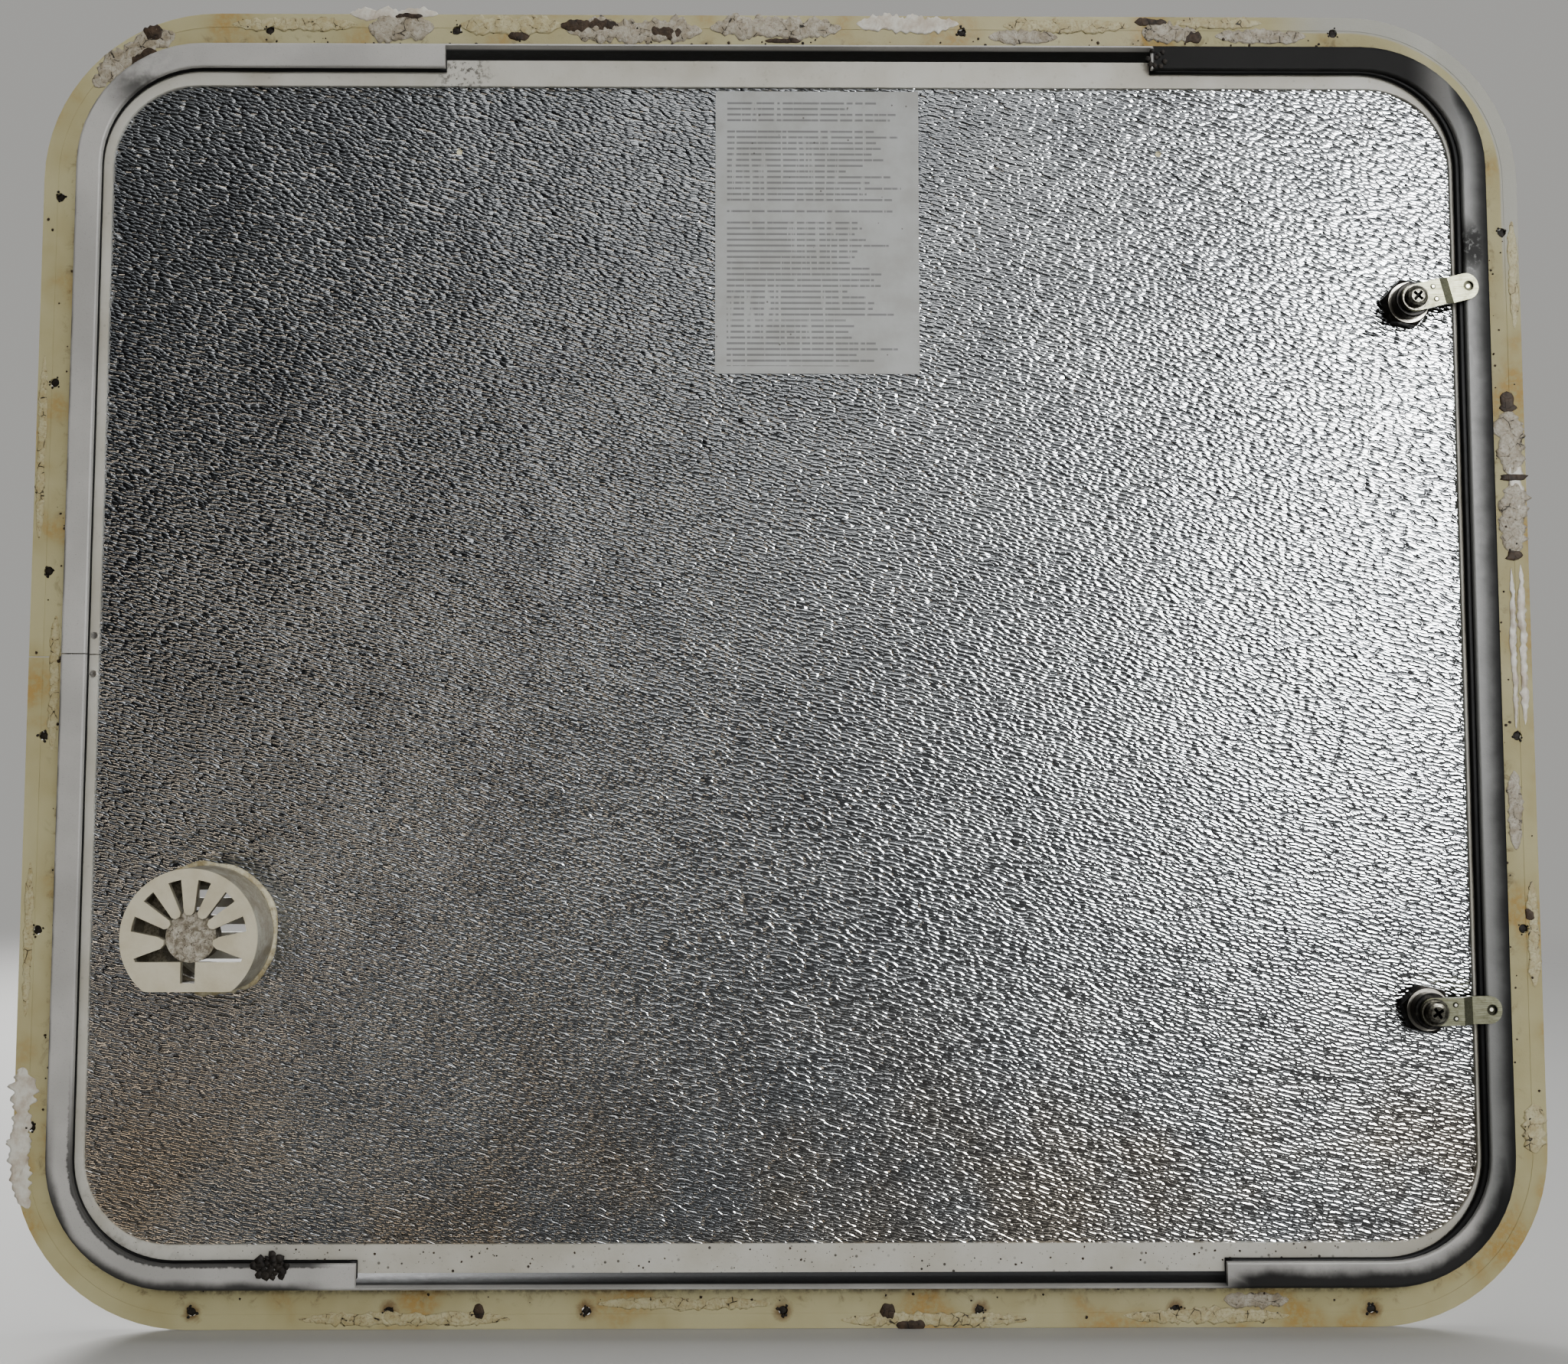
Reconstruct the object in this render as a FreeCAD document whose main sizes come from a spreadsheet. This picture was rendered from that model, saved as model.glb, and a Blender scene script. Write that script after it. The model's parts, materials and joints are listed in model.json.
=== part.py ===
"""Vented compartment door for a caravan or motorhome wall, as a parametric FreeCAD document.

Frame of the model: +Z up, +Y into the vehicle, the hinge on the +X side, millimetres.
The origin is the middle of the screw flange's back face, which seats on the wall's outer skin.
"""

import FreeCAD, Part
import math
import os

import Sketcher

VECTOR = FreeCAD.Vector

# Every size that can be set by itself: (alias, value, what it is).
DRIVING = (
    ("frame_width", 798, "frame, across the screw flange"),
    ("frame_height", 699, "frame, up the screw flange"),
    ("frame_corner_radius", 92, "outer corner of the screw flange"),
    ("flange_width", 26.6, "screw flange, outer edge to the web's outer face"),
    ("flange_thickness", 2, "screw flange"),
    ("web_thickness", 1.6, "wall of the frame that passes through the vehicle wall"),
    ("lip_back", 21, "back face of the frame's inward lip"),
    ("lip_thickness", 2.5, "inward lip"),
    ("lip_width", 13.2, "inward lip, from the web's outer face"),
    ("lip_outer_round", 2.2, "rounded edge where the web turns into the lip"),
    ("lip_inner_round", 1, "rounded free edge of the lip"),
    ("top_gap_to_hinge", 179, "end of the top vent gap on the hinge side"),
    ("top_gap_to_latch", 195.4, "end of the top vent gap on the latch side"),
    ("bottom_gap_to_hinge", 215, "end of the bottom vent gap on the hinge side"),
    ("bottom_gap_to_latch", 224, "end of the bottom vent gap on the latch side"),
    ("splice_slit", 0.5, "butt joint where the bent extrusions close"),
    ("splice_height", -2, "height of both butt joints"),
    ("screw_inset", 9, "line of wall screws, from the flange's outer edge"),
    ("screw_hole_radius", 2.4, "wall screw holes"),
    ("screw_pitch", 101.6, "pitch of the wall screws"),
    ("putty_groove_width", 3, "groove in the flange's back under the screws"),
    ("putty_groove_depth", 0.2, "groove in the flange's back under the screws"),
    ("splice_plate_length", 70, "plate that ties the frame's butt joint"),
    ("splice_plate_depth", 11, "plate that ties the frame's butt joint"),
    ("splice_plate_thickness", 1, "plate that ties the frame's butt joint"),
    ("splice_clear", 3, "plate of the frame's butt joint, behind the flange's back"),
    ("splice_rivet_radius", 1.6, "rivets of the frame's butt joint"),
    ("splice_rivet_head", 0.8, "rivets of the frame's butt joint"),
    ("splice_rivet_head_radius", 2.7, "rivet heads of the frame's butt joint"),
    ("hinge_gap", 1.8, "door edge to web on the hinge side"),
    ("latch_gap", 1.8, "door edge to web on the latch side"),
    ("vent_gap", 5.6, "door edge to web at the top and bottom"),
    ("door_back", 15.6, "back face of the door's edge trim"),
    ("trim_thickness", 1.2, "legs of the door's edge trim"),
    ("trim_wall", 1.4, "edge wall of the door's edge trim"),
    ("trim_front_leg", 16, "front leg of the door's edge trim"),
    ("trim_back_leg", 14, "back leg of the door's edge trim"),
    ("skin_thickness", 1, "both door skins"),
    ("skin_hole_radius", 1.6, "old screw holes in the inner skin"),
    ("skin_hole_drop", 35.5, "old screw holes, below the skin's top edge"),
    ("skin_hole_to_hinge", 172, "old screw hole on the hinge side"),
    ("skin_hole_to_latch", 200, "old screw hole on the latch side"),
    ("trim_rivet_radius", 1.7, "rivet heads at the trim's butt joint"),
    ("trim_rivet_head", 0.9, "rivet heads at the trim's butt joint"),
    ("trim_rivet_spread", 10, "rivets, each side of the trim's butt joint"),
    ("trim_rivet_shank", 1.1, "rivet shanks at the trim's butt joint"),
    ("trim_rivet_inset", 2, "rivets, from the inner edge of the trim's back leg"),
    ("seal_clearance", 0.3, "seal to the closed door"),
    ("seal_cover", 8, "seal under the lip"),
    ("hinge_seal_reach", 0.2, "seal past the lip on the hinge side"),
    ("latch_seal_reach", 3.2, "seal past the lip on the latch side"),
    ("top_seal_reach", 1.2, "seal past the lip at the top"),
    ("bottom_seal_reach", 1.2, "seal past the lip at the bottom"),
    ("hinge_end_gap", 17.5, "end of the hinge to the start of the frame's corner"),
    ("knuckle_count", 12, "knuckles, shared in turn by the two leaves"),
    ("knuckle_gap", 0.4, "air between two knuckles"),
    ("knuckle_radius", 3.2, "hinge knuckles"),
    ("leaf_thickness", 1.2, "hinge leaves"),
    ("leaf_width", 13, "hinge leaves, from the knuckle's clearance"),
    ("leaf_clearance", 0.3, "leaf to the other leaf's knuckle"),
    ("pin_radius", 1.5, "hinge pin"),
    ("pin_clearance", 0.05, "hinge pin in the door's knuckles"),
    ("leaf_rivet_count", 8, "rivets in each leaf"),
    ("leaf_rivet_end", 23, "first and last leaf rivets, from the hinge's ends"),
    ("leaf_rivet_radius", 2.9, "rivet heads of the hinge"),
    ("leaf_rivet_head", 1, "rivet heads of the hinge"),
    ("leaf_rivet_shank", 1.6, "rivet shanks of the hinge"),
    ("latch_inset", 39.7, "latch axis to the door's latch-side edge"),
    ("latch_height", 184, "latch axes above and below the middle"),
    ("lock_radius", 9.2, "threaded lock body"),
    ("lock_fit", 0.4, "lock body in its hole"),
    ("lock_back", 25.6, "cam's seat on the key plug"),
    ("cam_running_gap", 0.2, "cam to the back end of the lock body"),
    ("lock_chamfer", 0.6, "back end of the lock body"),
    ("bezel_radius", 13, "lock bezel outside the door"),
    ("bezel_height", 2.4, "lock bezel outside the door"),
    ("bezel_chamfer", 1.2, "front edge of the lock bezel"),
    ("bezel_gasket", 0.8, "gasket under the lock bezel"),
    ("nut_across_flats", 22.6, "lock nut"),
    ("nut_height", 5.6, "lock nut"),
    ("nut_turn", 12, "lock nut, turned from corner level"),
    ("nut_bevel", 0.4, "ring left flat on the lock nut's back, inside its flats"),
    ("plug_radius", 6, "key plug in the lock body"),
    ("plug_clearance", 0.06, "key plug in the lock body"),
    ("plug_proud", 0.6, "key plug's front face, past the bezel"),
    ("keyway_length", 6.4, "keyway in the plug"),
    ("keyway_width", 1.6, "keyway in the plug"),
    ("keyway_depth", 4, "keyway in the plug"),
    ("cam_thickness", 2, "cam plate"),
    ("cam_width", 14, "cam plate"),
    ("cam_cover", 6.1, "cam's tip past the lip's free edge, when level"),
    ("cam_end_flat", 0.4, "half of the flat left between an end's two round corners"),
    ("cam_drop", 3.6, "joggle of the cam towards the lip"),
    ("joggle_start", 15, "lock axis to the start of the joggle"),
    ("joggle_length", 6, "joggle along the cam"),
    ("cam_dimple_radius", 2.3, "pressed dimple near the cam's tip"),
    ("cam_dimple_depth", 0.9, "pressed dimple near the cam's tip"),
    ("cam_dimple_inset", 5, "dimple to the cam's tip"),
    ("cam_boss_radius", 1.4, "dimple's raised foot on the cam's other side"),
    ("cam_dot_radius", 0.9, "two small raised dots on the cam"),
    ("cam_dot_height", 0.4, "two small raised dots on the cam"),
    ("cam_dot_spread", 3.4, "dots, each side of the cam's middle line"),
    ("cam_dot_reach", 10.6, "dots, from the lock axis"),
    ("upper_cam_tilt", 14.5, "rest angle of the upper cam above level"),
    ("lower_cam_tilt", 1, "rest angle of the lower cam above level"),
    ("washer_radius", 6.9, "washer under the cam screw"),
    ("washer_thickness", 0.9, "washer under the cam screw"),
    ("screw_head_radius", 5.7, "cam screw's head"),
    ("screw_head_height", 2.9, "cam screw's head"),
    ("screw_head_side", 1.3, "upright side of the cam screw's head"),
    ("screw_dome_radius", 4.9, "shoulder of the cam screw's head"),
    ("screw_dome_height", 2.3, "shoulder of the cam screw's head"),
    ("screw_top_radius", 3.4, "flat top of the cam screw's head"),
    ("screw_shank_radius", 2.4, "cam screw's shank"),
    ("tapped_depth", 6, "tapped hole in the key plug"),
    ("cross_recess_width", 1.5, "cross recess in the cam screw"),
    ("cross_recess_length", 6, "cross recess in the cam screw"),
    ("cross_recess_depth", 1.8, "cross recess in the cam screw"),
    ("cross_recess_turn", 33, "cross recess, turned from the cam's middle line"),
    ("vent_side", 295.3, "vent axis from the middle, on the hinge side"),
    ("vent_drop", 144.9, "vent axis below the middle"),
    ("vent_radius", 34.2, "outside of the vent housing"),
    ("vent_flat", 26.6, "vent axis to the flat under the housing"),
    ("vent_flat_round", 5, "corners at the ends of the flat"),
    ("vent_wall", 2.4, "wall of the vent housing"),
    ("vent_height", 24.4, "vent housing, from the skin to its face"),
    ("vent_face", 3, "face of the vent housing"),
    ("slot_radius", 28.8, "outer ends of the vent's slots"),
    ("spoke_width", 8.8, "outer ends of the vent's spokes"),
    ("spoke_inner_width", 5, "shoulders at the inner ends of the vent's spokes"),
    ("spoke_inner_radius", 11.2, "inner ends of the vent's spokes"),
    ("spoke_nose", 1.5, "nose of each spoke, past its shoulders"),
    ("spoke_nose_width", 2.2, "flat on each spoke's nose"),
    ("spoke_bite", 1, "spokes into the ring round the slots"),
    ("side_spoke_inner", 12.2, "inner ends of the two side spokes"),
    ("side_spoke_top", 3.4, "outer end of a side spoke's upper edge, above the axis"),
    ("side_spoke_shoulder", 0.4, "inner end of a side spoke's upper edge, above the axis"),
    ("side_spoke_drop", 2.4, "nose of a side spoke, below the axis"),
    ("side_spoke_chin", 3, "lower shoulder of a side spoke, below its nose"),
    ("side_spoke_foot", 10.6, "outer end of a side spoke's lower edge, below the axis"),
    ("vent_floor_opening", 24, "hole in the housing's floor, to the spigot"),
    ("chord_drop", 12, "vent axis to the top of the closed lower part"),
    ("drain_width", 7.3, "drain notch in the closed lower part"),
    ("drain_depth", 10.4, "drain notch in the closed lower part"),
    ("hub_radius", 12.6, "plug behind the vent's spokes"),
    ("hub_height", 7, "plug behind the vent's spokes"),
    ("spigot_radius", 28, "vent's spigot through the door"),
    ("spigot_wall", 2, "vent's spigot through the door"),
    ("spigot_fit", 0.5, "vent's spigot in its hole"),
    ("sealant_width", 2.4, "bead of sealant round the vent's foot"),
    ("sealant_height", 1.8, "bead of sealant round the vent's foot"),
    ("cover_radius", 48, "outside vent cover"),
    ("cover_height", 5, "outside vent cover"),
    ("cover_wall", 2, "outside vent cover"),
    ("cover_round", 2, "edge of the outside vent cover"),
    ("louvre_count", 5, "louvre slots in the outside cover"),
    ("louvre_pitch", 9, "pitch of the louvre slots"),
    ("louvre_width", 4.2, "louvre slots"),
    ("louvre_length", 44, "louvre slots"),
    ("cover_screw_circle", 40, "radius of the circle of cover screws"),
    ("cover_screw_radius", 3, "heads of the cover screws"),
    ("cover_screw_head", 1.4, "heads of the cover screws"),
    ("cover_screw_shank", 1.4, "shanks of the cover screws"),
    ("cover_screw_bite", 6, "cover screws in the foam core"),
    ("label_width", 108, "blank label"),
    ("label_height", 153, "blank label"),
    ("label_thickness", 0.3, "blank label"),
    ("label_side", 18, "label's middle from the middle, on the latch side"),
    ("label_drop", 2, "label's top edge below the skin's top edge"),
)

# Sizes that follow from the driving ones.
DERIVED = (
    ("web_width", "=frame_width - 2 * flange_width"),
    ("web_height", "=frame_height - 2 * flange_width"),
    ("web_corner_radius", "=frame_corner_radius - flange_width"),
    ("web_inner_width", "=web_width - 2 * web_thickness"),
    ("web_inner_height", "=web_height - 2 * web_thickness"),
    ("web_inner_radius", "=web_corner_radius - web_thickness"),
    ("lip_inner_width", "=web_width - 2 * lip_width"),
    ("lip_inner_height", "=web_height - 2 * lip_width"),
    ("lip_inner_radius", "=web_corner_radius - lip_width"),
    ("lip_front", "=lip_back - lip_thickness"),
    ("flange_front", "=-flange_thickness"),
    ("screw_side", "=frame_width / 2 - screw_inset"),
    ("screw_rise", "=frame_height / 2 - screw_inset"),
    ("door_width", "=web_inner_width - hinge_gap - latch_gap"),
    ("door_height", "=web_inner_height - 2 * vent_gap"),
    ("door_centre", "=(latch_gap - hinge_gap) / 2"),
    ("door_corner_radius", "=web_inner_radius - vent_gap"),
    ("door_hinge_edge", "=door_centre + door_width / 2"),
    ("door_latch_edge", "=door_centre - door_width / 2"),
    ("outer_skin_front", "=flange_front + trim_thickness"),
    ("outer_skin_back", "=outer_skin_front + skin_thickness"),
    ("inner_skin_back", "=door_back - trim_thickness"),
    ("inner_skin_front", "=inner_skin_back - skin_thickness"),
    ("core_width", "=door_width - 2 * trim_wall"),
    ("core_height", "=door_height - 2 * trim_wall"),
    ("core_radius", "=door_corner_radius - trim_wall"),
    ("opening_width", "=door_width - 2 * trim_back_leg"),
    ("opening_height", "=door_height - 2 * trim_back_leg"),
    ("opening_radius", "=door_corner_radius - trim_back_leg"),
    ("front_opening_width", "=door_width - 2 * trim_front_leg"),
    ("front_opening_height", "=door_height - 2 * trim_front_leg"),
    ("front_opening_radius", "=door_corner_radius - trim_front_leg"),
    ("seal_front", "=door_back + seal_clearance"),
    ("seal_thickness", "=lip_front - seal_front"),
    ("seal_outer_width", "=lip_inner_width + 2 * seal_cover"),
    ("seal_outer_height", "=lip_inner_height + 2 * seal_cover"),
    ("seal_outer_radius", "=lip_inner_radius + seal_cover"),
    ("seal_inner_height", "=lip_inner_height - top_seal_reach - bottom_seal_reach"),
    ("seal_inner_rise", "=(bottom_seal_reach - top_seal_reach) / 2"),
    ("seal_inner_radius", "=lip_inner_radius - bottom_seal_reach"),
    ("hinge_axis_x", "=(door_hinge_edge + web_inner_width / 2) / 2"),
    ("hinge_axis_y", "=flange_front - knuckle_radius - leaf_clearance / 2"),
    ("hinge_length", "=frame_height - 2 * frame_corner_radius - 2 * hinge_end_gap"),
    ("leaf_rivet_pitch", "=(hinge_length - 2 * leaf_rivet_end) / (leaf_rivet_count - 1)"),
    ("knuckle_pitch", "=hinge_length / knuckle_count"),
    ("leaf_start", "=knuckle_radius + leaf_clearance"),
    ("leaf_front", "=flange_front - leaf_thickness"),
    ("rivet_line", "=leaf_start + leaf_width / 2"),
    ("latch_x", "=door_latch_edge + latch_inset"),
    ("cam_reach", "=latch_x + lip_inner_width / 2 + cam_cover"),
    ("lock_hole_radius", "=lock_radius + lock_fit"),
    ("bezel_front", "=outer_skin_front - bezel_gasket - bezel_height"),
    ("plug_front", "=bezel_front - plug_proud"),
    ("cam_front", "=lock_back"),
    ("cam_back", "=lock_back + cam_thickness"),
    ("cam_tip_front", "=cam_front - cam_drop"),
    ("cam_tip_back", "=cam_back - cam_drop"),
    ("washer_back", "=cam_back + washer_thickness"),
    ("spigot_hole_radius", "=spigot_radius + spigot_fit"),
    ("vent_back", "=inner_skin_back + vent_height"),
    ("vent_face_front", "=vent_back - vent_face"),
    ("cover_front", "=outer_skin_front - cover_height"),
)


def start_document():
    """The document with its sheet of sizes."""
    document = FreeCAD.newDocument("compartment_door")
    sheet = document.addObject("Spreadsheet::Sheet", "Size")
    row = 1
    for alias, value, meaning in DRIVING:
        sheet.set(f"A{row}", alias)
        sheet.set(f"B{row}", str(value))
        sheet.set(f"C{row}", meaning)
        sheet.setAlias(f"B{row}", alias)
        row += 1
    for alias, formula in DERIVED:
        sheet.set(f"A{row}", alias)
        sheet.set(f"B{row}", formula)
        sheet.setAlias(f"B{row}", alias)
        row += 1
    document.recompute()
    return document, sheet


doc, size = start_document()


def number(expression):
    """The value that an expression of the sheet has now."""
    return float(size.evalExpression(expression))


# ---- sketches -------------------------------------------------------------------------------


def new_body(name):
    body = doc.addObject("PartDesign::Body", name)
    body.Label = name
    return body


def new_sketch(body, name, role="XZ_Plane", across="0", up="0", out="0"):
    """A sketch on one of the body's own origin planes, its origin moved by three expressions."""
    sketch = body.newObject("Sketcher::SketchObject", f"{body.Name}_{name}_sketch")
    plane = [item for item in body.Origin.OriginFeatures if item.Role == role][0]
    sketch.AttachmentSupport = [(plane, "")]
    sketch.MapMode = "FlatFace"
    sketch.setExpression("AttachmentOffset.Base.x", across)
    sketch.setExpression("AttachmentOffset.Base.y", up)
    sketch.setExpression("AttachmentOffset.Base.z", out)
    return sketch


def upright_sketch(body, name, depth, across="0", up="0"):
    """A sketch facing the wall: its x is X, its y is Z, and it lies at Y = depth."""
    return new_sketch(body, name, "XZ_Plane", across, up, f"-({depth})")


def bind(sketch, name, expression, kind, *geometry):
    """One dimension of a sketch, tied to an expression of the sheet."""
    index = sketch.addConstraint(Sketcher.Constraint(kind, *geometry, number(expression)))
    sketch.renameConstraint(index, name)
    sketch.setExpression(f"Constraints.{name}", expression)


def place(sketch, name, geometry, point, across, up):
    """Ties one point of a sketch to its place; "0" means that it lies on the axis."""
    if across == "0":
        sketch.addConstraint(Sketcher.Constraint("PointOnObject", geometry, point, -2))
    else:
        bind(sketch, f"{name}_across", across, "DistanceX", -1, 1, geometry, point)
    if up == "0":
        sketch.addConstraint(Sketcher.Constraint("PointOnObject", geometry, point, -1))
    else:
        bind(sketch, f"{name}_up", up, "DistanceY", -1, 1, geometry, point)


def draw_circle(sketch, name, radius, across="0", up="0"):
    centre = VECTOR(number(across), number(up), 0)
    circle = Part.Circle(centre, VECTOR(0, 0, 1), number(radius))
    index = sketch.addGeometry(circle, False)
    bind(sketch, f"{name}_radius", radius, "Radius", index)
    place(sketch, name, index, 3, across, up)


def draw_outline(sketch, name, corners):
    """A closed outline of straight lines; each corner is a pair of expressions."""
    points = [VECTOR(number(across), number(up), 0) for across, up in corners]
    count = len(points)
    lines = []
    for i in range(count):
        segment = Part.LineSegment(points[i], points[(i + 1) % count])
        lines.append(sketch.addGeometry(segment, False))
    for i in range(count):
        follower = lines[(i + 1) % count]
        sketch.addConstraint(Sketcher.Constraint("Coincident", lines[i], 2, follower, 1))
    for i, (across, up) in enumerate(corners):
        place(sketch, f"{name}_{i}", lines[i], 1, across, up)


def draw_rectangle(sketch, name, width, height, across="0", up="0"):
    """A rectangle about the point (across, up)."""
    west = f"{across} - ({width}) / 2"
    east = f"{across} + ({width}) / 2"
    south = f"{up} - ({height}) / 2"
    north = f"{up} + ({height}) / 2"
    draw_outline(sketch, name, ((west, south), (east, south), (east, north), (west, north)))


def draw_rounded_rectangle(sketch, name, width, height, radius):
    """A rectangle with four equal round corners, about the sketch's origin."""
    half_width = number(width) / 2
    half_height = number(height) / 2
    corner = number(radius)
    flat_x = half_width - corner
    flat_y = half_height - corner
    sides = (
        ((-flat_x, -half_height), (flat_x, -half_height)),
        ((half_width, -flat_y), (half_width, flat_y)),
        ((flat_x, half_height), (-flat_x, half_height)),
        ((-half_width, flat_y), (-half_width, -flat_y)),
    )
    centres = ((flat_x, -flat_y), (flat_x, flat_y), (-flat_x, flat_y), (-flat_x, -flat_y))
    lines = []
    arcs = []
    for turn in range(4):
        start, end = sides[turn]
        lines.append(sketch.addGeometry(Part.LineSegment(VECTOR(*start), VECTOR(*end)), False))
        circle = Part.Circle(VECTOR(*centres[turn]), VECTOR(0, 0, 1), corner)
        first = math.radians(90 * turn - 90)
        arc = Part.ArcOfCircle(circle, first, first + math.pi / 2)
        arcs.append(sketch.addGeometry(arc, False))
    for turn in range(4):
        following = lines[(turn + 1) % 4]
        sketch.addConstraint(Sketcher.Constraint("Tangent", lines[turn], 2, arcs[turn], 1))
        sketch.addConstraint(Sketcher.Constraint("Tangent", arcs[turn], 2, following, 1))
        direction = "Vertical" if turn % 2 else "Horizontal"
        sketch.addConstraint(Sketcher.Constraint(direction, lines[turn]))
    for turn in range(1, 4):
        sketch.addConstraint(Sketcher.Constraint("Equal", arcs[0], arcs[turn]))
    sketch.addConstraint(Sketcher.Constraint("Symmetric", lines[0], 1, lines[2], 1, -1, 1))
    bind(sketch, f"{name}_corner", radius, "Radius", arcs[0])
    bind(sketch, f"{name}_width", width, "DistanceX", lines[3], 1, lines[1], 1)
    bind(sketch, f"{name}_height", height, "DistanceY", lines[0], 1, lines[2], 1)


def draw_flatted_circle(sketch, name, radius, flat):
    """A circle about the sketch's origin, cut by a level line at -flat."""
    reach = number(radius)
    drop = number(flat)
    half = math.sqrt(reach ** 2 - drop ** 2)
    start = math.atan2(-drop, half)
    circle = Part.Circle(VECTOR(0, 0, 0), VECTOR(0, 0, 1), reach)
    arc = sketch.addGeometry(Part.ArcOfCircle(circle, start, math.pi - start), False)
    chord = Part.LineSegment(VECTOR(-half, -drop, 0), VECTOR(half, -drop, 0))
    line = sketch.addGeometry(chord, False)
    sketch.addConstraint(Sketcher.Constraint("Coincident", arc, 3, -1, 1))
    sketch.addConstraint(Sketcher.Constraint("Coincident", arc, 2, line, 1))
    sketch.addConstraint(Sketcher.Constraint("Coincident", line, 2, arc, 1))
    sketch.addConstraint(Sketcher.Constraint("Horizontal", line))
    bind(sketch, f"{name}_radius", radius, "Radius", arc)
    bind(sketch, f"{name}_flat", flat, "DistanceY", line, 1, -1, 1)


# ---- features -------------------------------------------------------------------------------


def pad(body, sketch, length, inward=True):
    """Adds material: towards +Y from an upright sketch, or towards -Y."""
    feature = body.newObject("PartDesign::Pad", sketch.Name.replace("_sketch", "_pad"))
    feature.Profile = sketch
    feature.Reversed = inward
    feature.setExpression("Length", length)
    return feature


def cut(body, sketch, length, away=False):
    """Takes material away: towards +Y from an upright sketch, or towards -Y."""
    doc.recompute()
    before = body.Shape.Volume
    feature = body.newObject("PartDesign::Pocket", sketch.Name.replace("_sketch", "_cut"))
    feature.Profile = sketch
    feature.Reversed = away
    feature.setExpression("Length", length)
    doc.recompute()
    if body.Shape.Volume >= before:
        raise RuntimeError(f"{feature.Name} cuts nothing")
    return feature


def turn(body, sketch, taken=False):
    """Turns a profile about the sketch's own vertical axis, as material or as a groove."""
    kind = "Groove" if taken else "Revolution"
    feature = body.newObject(f"PartDesign::{kind}", sketch.Name.replace("_sketch", "_turned"))
    feature.Profile = sketch
    feature.ReferenceAxis = (sketch, ["V_Axis"])
    feature.Angle = 360
    return feature


def repeat(body, feature, role, pitch, count):
    """A row of one feature along one of the body's own axes."""
    pattern = body.newObject("PartDesign::LinearPattern", f"{feature.Name}_row")
    pattern.Originals = [feature]
    axis = [item for item in body.Origin.OriginFeatures if item.Role == role][0]
    pattern.Direction = (axis, [""])
    pattern.setExpression("Length", f"{pitch} * ({count} - 1)")
    pattern.setExpression("Occurrences", count)
    body.Tip = pattern
    return pattern


def round_edges(body, radius, wanted):
    """Rounds those edges of the body so far for which wanted(edge) is true."""
    doc.recompute()
    base = body.Tip
    names = [f"Edge{i + 1}" for i, edge in enumerate(base.Shape.Edges) if wanted(edge)]
    fillet = body.newObject("PartDesign::Fillet", f"{base.Name}_round")
    fillet.Base = (base, names)
    fillet.setExpression("Radius", radius)
    doc.recompute()
    return fillet


# ---- frame ----------------------------------------------------------------------------------


def ring(body, name, depth, length, outer, inner, across="0"):
    """A flat ring between two rounded rectangles, from Y = depth inwards."""
    sketch = upright_sketch(body, name, depth, across)
    draw_rounded_rectangle(sketch, "outer", *outer)
    draw_rounded_rectangle(sketch, "inner", *inner)
    return pad(body, sketch, length)


FRAME_OUTLINE = ("Size.frame_width", "Size.frame_height", "Size.frame_corner_radius")
WEB_OUTLINE = ("Size.web_width", "Size.web_height", "Size.web_corner_radius")
WEB_INSIDE = ("Size.web_inner_width", "Size.web_inner_height", "Size.web_inner_radius")
LIP_INSIDE = ("Size.lip_inner_width", "Size.lip_inner_height", "Size.lip_inner_radius")
DOOR_OUTLINE = ("Size.door_width", "Size.door_height", "Size.door_corner_radius")
CORE_OUTLINE = ("Size.core_width", "Size.core_height", "Size.core_radius")
SKIN_OPENING = ("Size.opening_width", "Size.opening_height", "Size.opening_radius")
FRONT_OPENING = (
    "Size.front_opening_width",
    "Size.front_opening_height",
    "Size.front_opening_radius",
)


def widened(outline, amount):
    """An outline moved outwards all round by an expression."""
    width, height, radius = outline
    return (f"{width} + 2 * ({amount})", f"{height} + 2 * ({amount})", f"{radius} + ({amount})")


# Wall screw holes, counted in pitches from the middle of each side of the flange.
TOP_SCREWS = (-2.96, -1.97, -0.96, -0.11, 0.05, 0.76, 1.75, 2.75)
BOTTOM_SCREWS = (-3, -2, -1, 0, 1, 2, 3)
HINGE_SCREWS = (-2.43, -1.43, -0.43, 0.43, 1.43, 2.43)
LATCH_SCREWS = (-2.43, -1.43, -0.43, 0.57, 1.34, 2.26)


def distance_inside_web(point):
    """How far a point lies inside the web's outline, measured square to it."""
    half_width = number("Size.web_width / 2")
    half_height = number("Size.web_height / 2")
    corner = number("Size.web_corner_radius")
    beyond_x = abs(point.x) - (half_width - corner)
    beyond_z = abs(point.z) - (half_height - corner)
    if beyond_x > 0 and beyond_z > 0:
        return corner - math.hypot(beyond_x, beyond_z)
    return min(half_width - abs(point.x), half_height - abs(point.z))


def edges_inside_web(depth, inset):
    """Picks the ring of edges at one depth that lies one inset inside the web's outline."""
    level = number(depth)
    wanted_inset = number(inset)
    tolerance = 0.01

    def wanted(edge):
        box = edge.BoundBox
        if abs(box.YMin - level) > tolerance or abs(box.YMax - level) > tolerance:
            return False
        middle = edge.valueAt((edge.FirstParameter + edge.LastParameter) / 2)
        return abs(distance_inside_web(middle) - wanted_inset) < tolerance

    return wanted


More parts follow.
